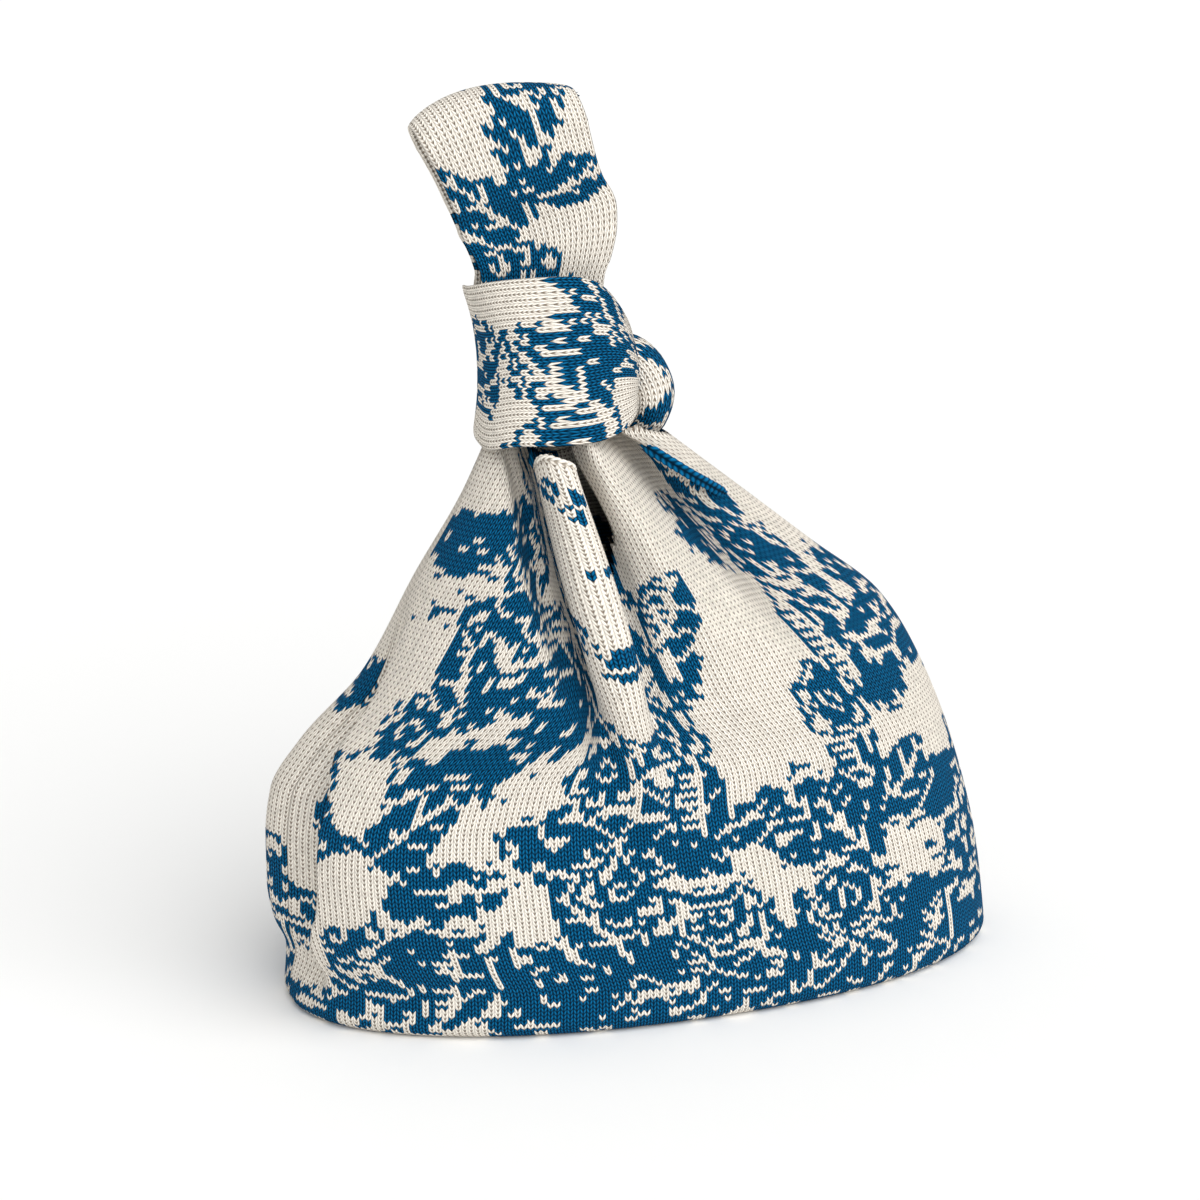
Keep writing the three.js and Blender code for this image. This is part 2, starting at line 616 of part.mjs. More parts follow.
add('front_panel', panel(-1, frontPoint, FRONT_COLUMNS), KNIT_COLOUR);
add('back_panel', panel(1, backPoint, BACK_COLUMNS), KNIT_COLOUR);
add('base_panel', basePanel(), IVORY_COLOUR);
add('left_side_seam', sideSeam(0), BLUE_COLOUR);
add('right_side_seam', sideSeam(1), BLUE_COLOUR);
add('base_seam', baseSeam(), BLUE_COLOUR);
add('front_mouth_rim', mouthRim(frontPoint, FRONT_COLUMNS, FRONT_RIM), IVORY_COLOUR);
add('back_mouth_rim', mouthRim(backPoint, BACK_COLUMNS, BACK_RIM), IVORY_COLOUR);
add('shoulder_edge_chain', shoulderChain(), BLUE_COLOUR);
add('long_handle_front_root', strapPly(-1), KNIT_COLOUR);
add('long_handle_back_root', strapPly(1), KNIT_COLOUR);
add('long_handle_front_loop', loopPly(-1), KNIT_COLOUR);
add('long_handle_back_loop', loopPly(1), KNIT_COLOUR);
add('long_handle_top_seam', loopSeam(), BLUE_COLOUR);
add('short_handle_front_band', bandPart(BAND_SPLIT[1], 1 + BAND_SPLIT[0], 22), KNIT_COLOUR);
add('short_handle_back_band', bandPart(BAND_SPLIT[0], BAND_SPLIT[1], 12), KNIT_COLOUR);
add('short_handle_seam', bandSeam(), BLUE_COLOUR);
add('short_handle_turned_leg', turnedLeg(), KNIT_COLOUR);

export default bag;
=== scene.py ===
"""Looks of a knitted Japanese knot bag, in metres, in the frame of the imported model."""
import functools
import math

import bpy
import numpy as np
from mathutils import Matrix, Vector


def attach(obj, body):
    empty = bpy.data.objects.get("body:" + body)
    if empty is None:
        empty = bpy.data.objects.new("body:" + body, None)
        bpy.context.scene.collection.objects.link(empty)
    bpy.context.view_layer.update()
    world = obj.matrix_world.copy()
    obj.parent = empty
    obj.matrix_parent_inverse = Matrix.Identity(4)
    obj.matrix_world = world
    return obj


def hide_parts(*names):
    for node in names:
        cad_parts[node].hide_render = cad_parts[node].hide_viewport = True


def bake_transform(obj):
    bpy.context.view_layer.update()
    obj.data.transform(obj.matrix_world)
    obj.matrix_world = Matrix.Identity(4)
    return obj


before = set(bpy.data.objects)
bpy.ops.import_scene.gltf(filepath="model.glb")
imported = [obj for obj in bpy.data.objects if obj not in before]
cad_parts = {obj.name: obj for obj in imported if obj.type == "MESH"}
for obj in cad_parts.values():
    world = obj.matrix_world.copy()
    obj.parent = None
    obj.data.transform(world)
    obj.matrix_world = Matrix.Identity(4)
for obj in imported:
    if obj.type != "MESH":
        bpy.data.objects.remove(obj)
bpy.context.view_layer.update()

# Lengths below are millimetres and angles degrees; meshes are turned to metres when they are made
MM = 0.001

# The knit: a stitch is a wale wide and a course high; its legs rise from its middle by a share of a course
WALE = 2.3
COURSE = 1.85
LEG_RISE = 0.8

# The knitted picture: spacing of its branches and ground thickets, the cloth to each loose thicket in square
# millimetres, the pale line round leaves and blossoms, and where the short handle's part of it starts
BRANCH_STEP = 60
GROUND_STEP = 34
THICKET_AREA = 4600
PALE_LINE = 1.7
BAND_CUT = 58
FRONT_SEED, BACK_SEED, BAND_SEED, LEG_SEED, HANDLE_SEED = 14, 2, 43, 6, 8

# Body of the bag: its wall is longer than high by the slope, and the boxes square the turns of its outline
BAG_WIDTH = 292
BAG_DEPTH = 134
NECK_HEIGHT = 218
KNIT_THICKNESS = 3
EDGE_ROLL = 6
TUCK = 4
NECK_SIDE_TUCK, NECK_DEPTH_TUCK = 4.6, 6.6
WALL_SLOPE = 1.06
PANEL_GAP = 0.3
SLACK = 1.1
FRONT_LEFT_BOX, BACK_LEFT_BOX, RIGHT_BOX = 0.2, 0.16, 0.08

# Left gusset: how far it folds in, the shares of the depth where it sinks, returns and ends, how much of it
# stretches the stitches, and the pale patches on the wales of its ridge
SIDE_PINCH = 19
GUSSET_FOLD, GUSSET_RETURN, GUSSET_END = 0.12, 0.52, 0.22
GUSSET_STRETCH = 0.4
RIDGE_WALES = 34
RIDGE_PATCH, RIDGE_PALE, RIDGE_SEED = 22, 0.48, 5

# The short handle, wound round the long one as the knot
KNOT_OFFSET = -32
KNOT_LEAN = 8.1
BAND_GIRTH = 170
BAND_HEIGHT = 64
BAND_WALL = 3.4
BAND_FLARE = 5.1
BAND_DEPTH = 44
BAND_TAPER = 4
BAND_BULGE = 1.8
BAND_WAIST = 5
BAND_RIGHT_DROP = 23
BAND_RIGHT_FLARE = 4.5
BAND_RIGHT_RISE = 9
BAND_BACK_DROP = 10
SHOULDER_REACH = 8
BAND_CORNER = 0.74
TURN_RADIUS = 9.4
LEG_WALES = 24
SEAM_TURN = 0.41

# The long handle and its loop
STRAP_WIDTH = 47.4
STRAP_DEPTH = 6.1
LOOP_LEAN = 11
LOOP_RISE = 44
LOOP_ARCH = 7
LOOP_FOOT_WIDTH = 59.5
LOOP_WAIST_WIDTH = 57
LOOP_TOP_WIDTH = 63
LOOP_DEPTH = 25
HANDLE_PLY = 3
HINGE_HEIGHT = 301

# Folds of the front: place beside the knot's middle, lean, width and height of each
PLEAT_OFFSET, PLEAT_LEAN, PLEAT_WIDTH, PLEAT_HEIGHT = -8, 0.19, 18.5, 14
PLEAT_TIP_WIDTH = 13.4
PLEAT_WRAP = 34
CREASE_DEPTH, LEFT_CREASE = 10.5, 1.6
SIDE_FOLD_OFFSET, SIDE_FOLD_LEAN, SIDE_FOLD_WIDTH, SIDE_FOLD_HEIGHT = 6.5, 0.53, 9, 7.5
VALLEY_OFFSET, VALLEY_LEAN, VALLEY_WIDTH, VALLEY_DEPTH = 21, 0.78, 10, 13
FLAP_OFFSET, FLAP_LEAN, FLAP_REACH, FLAP_HEIGHT = 25, 1.5, 18, 12
FLAP_FOOT = 186

# Shares of the neck's height where each fold starts and where it is full
PLEAT_RISE, PLEAT_ROLLED, CREASE_RISE = (0.27, 0.74), (0.4, 0.68), (0.44, 0.82)
SIDE_FOLD_RISE, VALLEY_RISE, FLAP_RISE = (0.46, 0.83), (0.58, 0.88), (0.86, 0.96)
GUSSET_RISE, GUSSET_FADE = (0, 0.22), (0.76, 0.5)
GATHER_RISE, GATHER_HEIGHT = (0.55, 0.95), 2.4

# Where the folds run out, how deep they may sink, as a share, their wales, and the pleat's pale patches
FOLD_FOOT = 95
FOLD_LIMIT = 0.72
PLEAT_WALES, MOUTH_WALES, SHOULDER_WALES = 14, 10, 12
PLEAT_FOOT, PLEAT_FADE = 100, 40
PLEAT_PATCH, PLEAT_PALE, PLEAT_SEED = 12, 0.62, 3

# The open mouth beside the pleat, the pleat's tip, and the drop of the right shoulder
MOUTH_FLOOR = 160
MOUTH_SLOPE = 2.6
MOUTH_WIDTH = 6.7
MOUTH_TIP = 3.4
TIP_DROP = 7
TIP_ARCH = 6
SHOULDER_DROP = 6

# Chains and seams
RIM_RADIUS = 1.7
CHAIN_RADIUS = 2.4
CHAIN_COURSE = 2.7
SEAM_RADIUS = 1.2
CHAIN_TOP_DROP, CHAIN_FOOT_DROP = 2, 27

# Yarn: colours of the lit yarn and of the shade painted into its hollows, and sizes of holes, fibres,
# blotches and relief
# The fibres are drawn coarser than cotton's own, so that they show
IVORY, BLUE = "#fdf6ea", "#08689a"
# The hollow colours are painted shade, mixed in between the legs and at the holes
IVORY_HOLLOW_SHADE, CHAIN_HOLLOW_SHADE, BLUE_HOLLOW_SHADE = "#6e5438", "#8a7965", "#001120"
HOLE_HEART, HOLE_EDGE = 0.22, 0.68
FIBRE, BLOTCH = 0.9, 38
RELIEF = 0.65

# Sizes that follow
KNOT_SLOPE = math.tan(math.radians(KNOT_LEAN))
BAND_TOP_HALF = STRAP_WIDTH / 2 + BAND_WALL
BAND_FOOT_HALF = BAND_TOP_HALF + BAND_FLARE
NECK_LEFT = KNOT_OFFSET - BAND_FOOT_HALF + NECK_SIDE_TUCK
NECK_RIGHT = KNOT_OFFSET + BAND_FOOT_HALF + SHOULDER_REACH
NECK_HALF_DEPTH = BAND_DEPTH / 2 - NECK_DEPTH_TUCK
BAND_WALES, BAND_COURSES = round(BAND_HEIGHT / WALE), round(BAND_GIRTH / COURSE)
HANDLE_WALES = round(LOOP_FOOT_WIDTH / WALE)

# How far each outline has drawn in, from the base (0) to the neck (1), against height share
LEFT_DRAW = (
    (0, 0.035), (0.087, 0.055), (0.138, 0.005), (0.2, -0.02), (0.29, -0.02), (0.38, 0.005), (0.46, 0.13),
    (0.58, 0.42), (0.76, 0.675), (0.9, 0.885), (1, 1))
RIGHT_DRAW = (
    (0, 0), (0.18, 0.038), (0.37, 0.115), (0.55, 0.23), (0.665, 0.345), (0.77, 0.55), (0.87, 0.745), (1, 1))
DEPTH_DRAW = ((0, 0), (0.23, -0.03), (0.44, 0.09), (0.69, 0.44), (0.87, 0.76), (1, 1))

# Where the ridge before the left gusset runs, as a share of the depth, against height share
GUSSET_RIDGE = ((0, -0.42), (0.15, -0.42), (0.25, -0.5), (0.4, -0.52), (0.52, -0.3), (0.7, -0.2), (1, -0.2))

# Camera of the photograph, with its place in metres
CAMERA_AZIMUTH, CAMERA_RISE, CAMERA_DISTANCE = -17, 16.5, 1.15
CAMERA_TARGET = Vector((0, 0, 0.175))
CAMERA_LENS = 89.85
CAMERA_SHIFT = (-0.0325, -0.0533)

# Light of the studio, and its paper floor in metres
WINDOW_STRENGTH, WINDOW_SPREAD = 2.5, 75
WINDOW_HEADING = Vector((-0.32, 0.8, -0.75))
FILL_STRENGTH = 0.58
WHITE, PAPER = "#ffffff", "#f8f8f7"
FLOOR_REACH = 14.0


# Curves and noise

def smooth_step(start, end, value):
    share = np.clip((value - start) / (end - start), 0, 1)
    return share * share * (3 - 2 * share)


def bell(centre, width, value):
    return np.exp(-(((value - centre) / width) ** 2))


def mix(first, second, share):
    return first + (second - first) * share


def curve_through(points, at):
    """Smooth curve through the points that never overshoots them."""
    place = np.array([p[0] for p in points], float)
    value = np.array([p[1] for p in points], float)
    gap = np.diff(place)
    rise = np.diff(value) / gap
    slope = np.concatenate(([rise[0]], np.zeros(len(rise) - 1), [rise[-1]]))
    for k in range(1, len(rise)):
        if rise[k - 1] * rise[k] > 0:
            slope[k] = 2 * rise[k - 1] * rise[k] / (rise[k - 1] + rise[k])
    at = np.clip(np.asarray(at, float), place[0], place[-1])
    k = np.clip(np.searchsorted(place, at, side="right") - 1, 0, len(gap) - 1)
    u = (at - place[k]) / gap[k]
    start = (2 * u**3 - 3 * u**2 + 1) * value[k] + (u**3 - 2 * u**2 + u) * gap[k] * slope[k]
    end = (3 * u**2 - 2 * u**3) * value[k + 1] + (u**3 - u**2) * gap[k] * slope[k + 1]
    return start + end


def running_length(path):
    return np.concatenate([[0], np.cumsum(np.linalg.norm(np.diff(path, axis=0), axis=1))])


def running_area(value, place):
    return np.concatenate([[0], np.cumsum((value[1:] + value[:-1]) / 2 * np.diff(place))])


def unit(vectors):
    return vectors / np.maximum(np.linalg.norm(vectors, axis=-1, keepdims=True), 1e-9)


def patch_noise(x, y, cell, seed):
    """Soft blotches of about the cell's size, from 0 to 1."""
    lattice = np.random.default_rng(seed).random((64, 64))
    x, y = x / cell + 16, y / cell + 16
    i, j = np.floor(x).astype(int), np.floor(y).astype(int)
    u, v = smooth_step(0, 1, x - i), smooth_step(0, 1, y - j)
    corner = lambda a, b: lattice[(i + a) % 64, (j + b) % 64]
    low = mix(corner(0, 0), corner(1, 0), u)
    return mix(low, mix(corner(0, 1), corner(1, 1), u), v)


# The knitted picture: flowering branches that rise from a thicket, in blue on ivory

def towards(angle):
    return np.array([math.cos(angle), math.sin(angle)])


def seen_along(x, y, foot, angle):
    """How far places lie ahead and to the side of a foot that faces the angle."""
    dx, dy = x - foot[0], y - foot[1]
    ahead = towards(angle)
    return dx * ahead[0] + dy * ahead[1], -dx * ahead[1] + dy * ahead[0]


def draw_leaf(blue, x, y, foot, angle, length, hatched):
    """A broad pointed leaf with pale veins; one half of it may be hatched."""
    along, side = seen_along(x, y, foot, angle)
    along = along / length
    half = 0.26 * length * np.sin(np.pi * np.clip(along, 0.001, 0.999) ** 0.85) ** 0.8
    inside = (along > 0) & (along < 1) & (np.abs(side) < half)
    border = (along > -0.06) & (along < 1.05) & (np.abs(side) < half + PALE_LINE) & ~inside
    within = np.abs(side) < half - 2.4
    vein = np.mod(along * length - 0.9 * np.abs(side), 11.5) < 2.1
    pale = (np.abs(side) < 1.2) & (along < 0.85) | vein & within
    if hatched:
        pale |= (side > 0) & within & (np.floor(y / COURSE) % 2 == 0)
    blue[border & (half > 1)] = 0
    blue[inside] = np.where(pale, 0, 1)[inside]


def draw_blossom(blue, x, y, middle, radius, petals, phase):
    """An open blossom: blue-edged petals, shaded towards a dotted heart."""
    dx, dy = x - middle[0], y - middle[1]
    reach, turn = np.hypot(dx, dy), np.arctan2(dy, dx) * petals / 2 + phase
    rim = radius * (0.72 + 0.28 * np.abs(np.cos(turn)))
    between = (np.abs(np.cos(turn)) < 0.16) & (reach > radius * 0.3)
    shaded = reach < radius * mix(0.45, 0.75, patch_noise(turn * 9, reach * 0.2, 2, 5))
    blue[reach < rim + PALE_LINE] = 0
    blue[(reach < rim) & ((reach > rim - 3.2) | between | shaded)] = 1
    blue[reach < radius * 0.26] = 0
    blue[reach < radius * 0.17] = 1


def draw_fern(blue, x, y, foot, angle, length, bend):
    """A thin stem with small leaflets."""
    step = 5.5
    count = int(length / step)
    at = np.array(foot, float)
    for k in range(count):
        heading = angle + bend * k / count
        for side in (-1, 1):
            tilt = heading + side * 0.95
            size = (9.5 + 3 * math.sin(2.1 * k)) * (1 - 0.6 * k / count)
            along, across = seen_along(x, y, at, tilt)
            along = along / size
            width = 2.1 * np.sin(np.pi * np.clip(along, 0, 1)) + 0.3
            blue[(along > 0) & (along < 1) & (np.abs(across) < width)] = 1
        at += step * towards(heading)
        blue[np.hypot(x - at[0], y - at[1]) < 1.7] = 1


def draw_thicket(blue, x, y, middle, half_width, half_height, seed):
    """A ragged mass of small foliage with pale flecks in rows."""
    ragged = patch_noise(x, y, 7, seed) * 0.55 + patch_noise(x, y, 17, seed + 1) * 0.5 - 0.5
    reach = np.hypot((x - middle[0]) / half_width, (y - middle[1]) / half_height) + ragged * 0.9
    flecks = patch_noise(x, y * 1.5, 4.4, seed + 2)
    strays = patch_noise(x, y * 1.5, 4.2, seed + 3)
    blue[reach < 1] = 1
    blue[(reach < 0.95) & (flecks > 0.71)] = 0
    blue[(reach >= 1) & (reach < 1.3) & (strays > 0.72)] = 1


def draw_branch(blue, x, y, foot, high, draw):
    """A wavy branch with a leaf, fern or blossom at each joint, on alternate sides."""
    step = 19
    heading = math.pi / 2 + draw.uniform(-0.4, 0.4)
    bend = draw.choice([-1, 1]) * draw.uniform(0.1, 0.16)
    at = np.array(foot)
    for joint in range(int(high / step)):
        ahead = towards(heading)
        for part in np.arange(0, step, 2.2):
            blue[np.hypot(x - at[0] - part * ahead[0], y - at[1] - part * ahead[1]) < 2.2] = 1
        side = 1 if joint % 2 else -1
        if joint % 4 == 2:
            petals, phase = int(draw.integers(5, 8)), draw.uniform(0, 3)
            draw_blossom(blue, x, y, at + 17 * towards(heading - side), draw.uniform(15, 20), petals, phase)
        else:
            hatched = draw.choice([0, 0, 0, 0, 1, 1]) == 1
            spread = heading + side * draw.uniform(0.6, 1.0)
            draw_leaf(blue, x, y, at, spread, draw.uniform(34, 48), hatched)
        if joint % 3 == 1:
            draw_fern(blue, x, y, at, heading - side * 0.9, 30, side * 0.5)
        at = at + step * ahead
        heading += bend
        if abs(heading - math.pi / 2) > 0.6:
            bend = -bend


def picture(x, y, seed):
    """Blue (1) or ivory (0) for stitches at x, y in flat millimetres: branches that rise from a thicket."""
    draw = np.random.default_rng(seed)
    blue = np.zeros(x.shape)
    wide, high = x.max(), y.max()
    wavy_x = x + 5 * (patch_noise(x, y, 9, seed + 1) - 0.5)
    wavy_y = y + 5 * (patch_noise(x, y, 9, seed + 2) - 0.5)
    for k in range(int(wide / GROUND_STEP) + 2):
        at = (k * GROUND_STEP + draw.uniform(-8, 8), draw.uniform(14, 36))
        draw_thicket(blue, x, y, at, draw.uniform(24, 36), draw.uniform(17, 27), int(draw.integers(1, 9000)))
    for k in range(int(wide * high / THICKET_AREA)):
        at = (draw.uniform(0, wide), draw.uniform(55, high))
        draw_thicket(blue, x, y, at, draw.uniform(18, 34), draw.uniform(10, 18), int(draw.integers(1, 9000)))
    for k in range(int(wide / BRANCH_STEP) + 1):
        foot = (k * BRANCH_STEP + draw.uniform(8, 26), draw.uniform(2, 18))
        draw_branch(blue, wavy_x, wavy_y, foot, high, draw)
    return blue


def stitch_chart(wales, courses, seed, cut=0):
    """Colour of every stitch of a piece that starts at that height of the picture."""
    wale, course = np.meshgrid(np.arange(wales), np.arange(courses))
    return picture(wale * WALE, cut + course * COURSE, seed)


# Cloth built stitch by stitch

def stitch_places(wales, courses):
    """Wale and course of every corner of the stitches' legs: the outer ends of the legs stand higher."""
    wale = np.arange(2 * wales + 1) / 2
    lift = np.where(np.arange(2 * wales + 1) % 2 == 0, LEG_RISE, 0.0)
    course = np.arange(courses + 1)[:, None] + lift[None, :]
    return np.broadcast_to(wale, course.shape), course


def thickened(points, depth):
    """The same grid, moved inwards by the depth."""
    normal = np.cross(np.gradient(points, axis=1), np.gradient(points, axis=0))
    return points - depth * unit(normal)


def new_piece(name, points, faces, places, yarn, material):
    """Mesh object with its stitch map, and for each face the share of blue yarn and a random tone."""
    used, index = np.unique(np.concatenate([group.ravel() for group in faces]), return_inverse=True)
    ends = np.cumsum([group.size for group in faces])
    polygons = []
    for group, corners in zip(faces, np.split(index, ends[:-1])):
        polygons += corners.reshape(group.shape).tolist()
    mesh = bpy.data.meshes.new(name)
    mesh.from_pydata((points[used] * MM).tolist(), [], polygons)
    corner = np.empty(len(mesh.loops), np.int32)
    mesh.loops.foreach_get("vertex_index", corner)
    stitch_map = mesh.uv_layers.new(name="stitch")
    stitch_map.data.foreach_set("uv", places[used][corner].astype(np.float32).ravel())
    tone = np.random.default_rng(len(polygons)).random(len(polygons))
    for label, values in (("yarn", yarn), ("tone", tone)):
        attribute = mesh.attributes.new(label, "FLOAT", "FACE")
        attribute.data.foreach_set("value", np.asarray(values, np.float32))
    mesh.polygons.foreach_set("use_smooth", np.ones(len(polygons), bool))
    mesh.materials.append(material)
    mesh.update()
    piece = bpy.data.objects.new(name, mesh)
    bpy.context.scene.collection.objects.link(piece)
    return piece


def knit_shell(name, outer, inner, blue, material, kept=None):
    """Closed cloth: outer holds two columns to a wale and one row to a course; the inner face is coarser."""
    rows, columns = outer.shape[0] - 1, outer.shape[1] - 1
    wales, pairs = columns // 2, rows // 2
    kept = np.ones((pairs, wales), bool) if kept is None else kept
    points = np.concatenate([outer.reshape(-1, 3), inner[::2, ::2].reshape(-1, 3)])
    wale, course = np.meshgrid(np.arange(columns + 1) / 2, np.arange(rows + 1))
    places = np.stack([wale, course], 2)
    places = np.concatenate([places.reshape(-1, 2), places[::2, ::2].reshape(-1, 2)])
    out = np.arange((rows + 1) * (columns + 1)).reshape(rows + 1, columns + 1)
    back = out.size + np.arange((pairs + 1) * (wales + 1)).reshape(pairs + 1, wales + 1)

    fine = np.repeat(np.repeat(kept, 2, 0), 2, 1)
    front = np.stack([out[:-1, :-1], out[:-1, 1:], out[1:, 1:], out[1:, :-1]], 2)[fine]
    low_left, low_right, high_left, high_right = back[:-1, :-1], back[:-1, 1:], back[1:, :-1], back[1:, 1:]
    rear = np.stack([low_left, high_left, high_right, low_right], 2)[kept]
    stitch_colour = np.repeat(blue, 2, 1)[fine]
    block_colour = blue[::2]

    # Walls close the cloth along each edge of what is kept
    padded = np.pad(kept, 1)
    walls, wall_colour = [], []
    corner = {(row, side): out[row:rows - 1 + row:2, side:columns - 1 + side:2]
              for row in range(3) for side in range(3)}
    sides = (
        (padded[:-2, 1:-1], (corner[0, 2], corner[0, 1], corner[0, 0], low_left, low_right)),
        (padded[2:, 1:-1], (corner[2, 0], corner[2, 1], corner[2, 2], high_right, high_left)),
        (padded[1:-1, :-2], (corner[0, 0], corner[1, 0], corner[2, 0], high_left, low_left)),
        (padded[1:-1, 2:], (corner[2, 2], corner[1, 2], corner[0, 2], low_right, high_right)),
    )
    for neighbour, corners in sides:
        open_edge = kept & ~neighbour
        walls.append(np.stack(corners, 2)[open_edge])
        wall_colour.append(block_colour[open_edge])
    yarn = np.concatenate([stitch_colour, block_colour[kept], *wall_colour])
    return new_piece(name, points, [front, rear, *walls], places, yarn, material)


def chain_cord(name, path, radius, blue, material, around=4, closed=False, course=COURSE, split=1,
               relief=0.0):
    """A tube of stitches along a path; blue is one share for all of it, or a chart to wrap round it.

    Each leg of a stitch is split into that many faces each way, and swells by the relief."""
    path = np.asarray(path, float)
    loop = np.concatenate([path, path[:6]]) if closed else path
    length = running_length(loop)
    total = length[len(path)] if closed else length[-1]
    courses, sides = max(4, round(total / course)), 2 * around * split
    rows = courses * split if closed else courses * split + 1
    wale = np.broadcast_to(np.abs(np.arange(sides) / (2 * split) - around / 2), (rows, sides))
    row = np.broadcast_to(np.arange(rows)[:, None] / split, (rows, sides))
    at = (row + LEG_RISE * np.abs(2 * (wale % 1) - 1)) / (courses if closed else courses + LEG_RISE) * total
    along_path = lambda s: np.stack([np.interp(s, length, loop[:, k]) for k in range(3)], -1)
    ahead = unit(along_path(at + COURSE) - along_path(at - COURSE))
    first = unit(np.cross(ahead, (0.0, 0.0, 1.0) if closed else (0.0, 1.0, 0.0)))
    second = np.cross(ahead, first)
    turn = 2 * np.pi * np.arange(sides) / sides
    plump = np.sqrt(np.abs(np.sin(2 * np.pi * wale) * np.sin(np.pi * row)))
    thick = np.interp(at / total, np.linspace(0, 1, np.size(radius)), np.ravel(radius)) + relief * (plump - 1)
    outward = np.cos(turn)[:, None] * first + np.sin(turn)[:, None] * second
    points = along_path(at) + thick[..., None] * outward
    ids = np.arange(rows * sides).reshape(rows, sides)
    here, next_row = (ids, np.roll(ids, -1, 0)) if closed else (ids[:-1], ids[1:])
    quads = np.stack([here, np.roll(here, -1, 1), np.roll(next_row, -1, 1), next_row], 2).reshape(-1, 4)
    chart = np.broadcast_to(blue, (courses, around))
    yarn = np.repeat(np.repeat(chart, split, 0), 2 * split, 1).ravel()
    faces = [quads]
    if not closed:
        faces += [ids[:1, ::-1], ids[-1:]]
        yarn = np.append(yarn, chart[[0, -1], 0])
    places = np.stack([wale, row], 2).reshape(-1, 2)
    return new_piece(name, points.reshape(-1, 3), faces, places, yarn, material)


# Shape of the body

def fold_line(offset, lean, z):
    return KNOT_OFFSET + offset + (NECK_HEIGHT - z) * lean


def pleat_half(z):
    return mix(PLEAT_WIDTH, PLEAT_TIP_WIDTH, smooth_step(0.75, 1, z / NECK_HEIGHT)) / 2


def body_outline(z):
    share = np.clip(z / NECK_HEIGHT, 0, 1)
    middle = KNOT_OFFSET * smooth_step(0, 1, share)
    left = mix(-BAG_WIDTH / 2, NECK_LEFT, curve_through(LEFT_DRAW, share))
    right = mix(BAG_WIDTH / 2, NECK_RIGHT, curve_through(RIGHT_DRAW, share))
    depth = mix(BAG_DEPTH / 2, NECK_HALF_DEPTH, curve_through(DEPTH_DRAW, share))
    return middle, left, right, depth


def corner_power(across, z, side):
    """1 is a plain oval; less is boxier: low down, and most of all where the front turns to the left."""
    share = z / NECK_HEIGHT
    front_left, back_left = FRONT_LEFT_BOX * bell(0.36, 0.36, share), BACK_LEFT_BOX * bell(0.2, 0.28, share)
    left = np.where(side < 0, front_left, back_left)
    return 1 - np.where(across < 0, left, RIGHT_BOX * bell(0, 0.3, share))


def outline_point(turn, z, side, inset):
    """Oval outline, boxier low down: turn runs from the left seam (0) to the right one (1)."""
    middle, left, right, depth = body_outline(z)
    cosine, sine = -np.cos(np.pi * turn), np.maximum(np.sin(np.pi * turn), 0)
    power = corner_power(cosine, z, side)
    across, deep = np.sign(cosine) * np.abs(cosine) ** power, sine**power
    reach = np.where(cosine < 0, middle - left, right - middle)
    normal_x = np.sign(cosine) * np.abs(cosine) ** (2 - power) / reach
    normal_y = side * sine ** (2 - power) / depth
    size = np.hypot(normal_x, normal_y)
    return middle + reach * across - inset * normal_x / size, side * depth * deep - inset * normal_y / size


def turn_at(x, z):
    """Turn of a place on the front."""
    middle, left, right, _ = body_outline(z)
    reach = np.where(x < middle, middle - left, right - middle)
    across = np.clip((x - middle) / reach, -1, 1)
    cosine = np.sign(across) * np.abs(across) ** (1 / corner_power(across, z, -1))
    return np.arccos(-cosine) / np.pi


def side_pinch(y, z):
    """The left gusset is folded in behind a ridge, whose place is a share of the outline's depth."""
    share, deep = np.clip(z / NECK_HEIGHT, 0, 1), y / body_outline(z)[3]
    behind = (deep - curve_through(GUSSET_RIDGE, share)) / GUSSET_FOLD
    folded_in = np.clip(behind, 0, 1) * smooth_step(GUSSET_END, GUSSET_END - GUSSET_RETURN, deep)
    return SIDE_PINCH * smooth_step(*GUSSET_RISE, share) * smooth_step(*GUSSET_FADE, share) * folded_in


def slack(x, z, side):
    """Soft unevenness of the filled cloth."""
    wave = np.sin(x / 27 + z / 49 + side) * np.sin(z / 37 - x / 61 + 2 * side)
    return SLACK * wave * smooth_step(0.05, 0.2, z / NECK_HEIGHT)


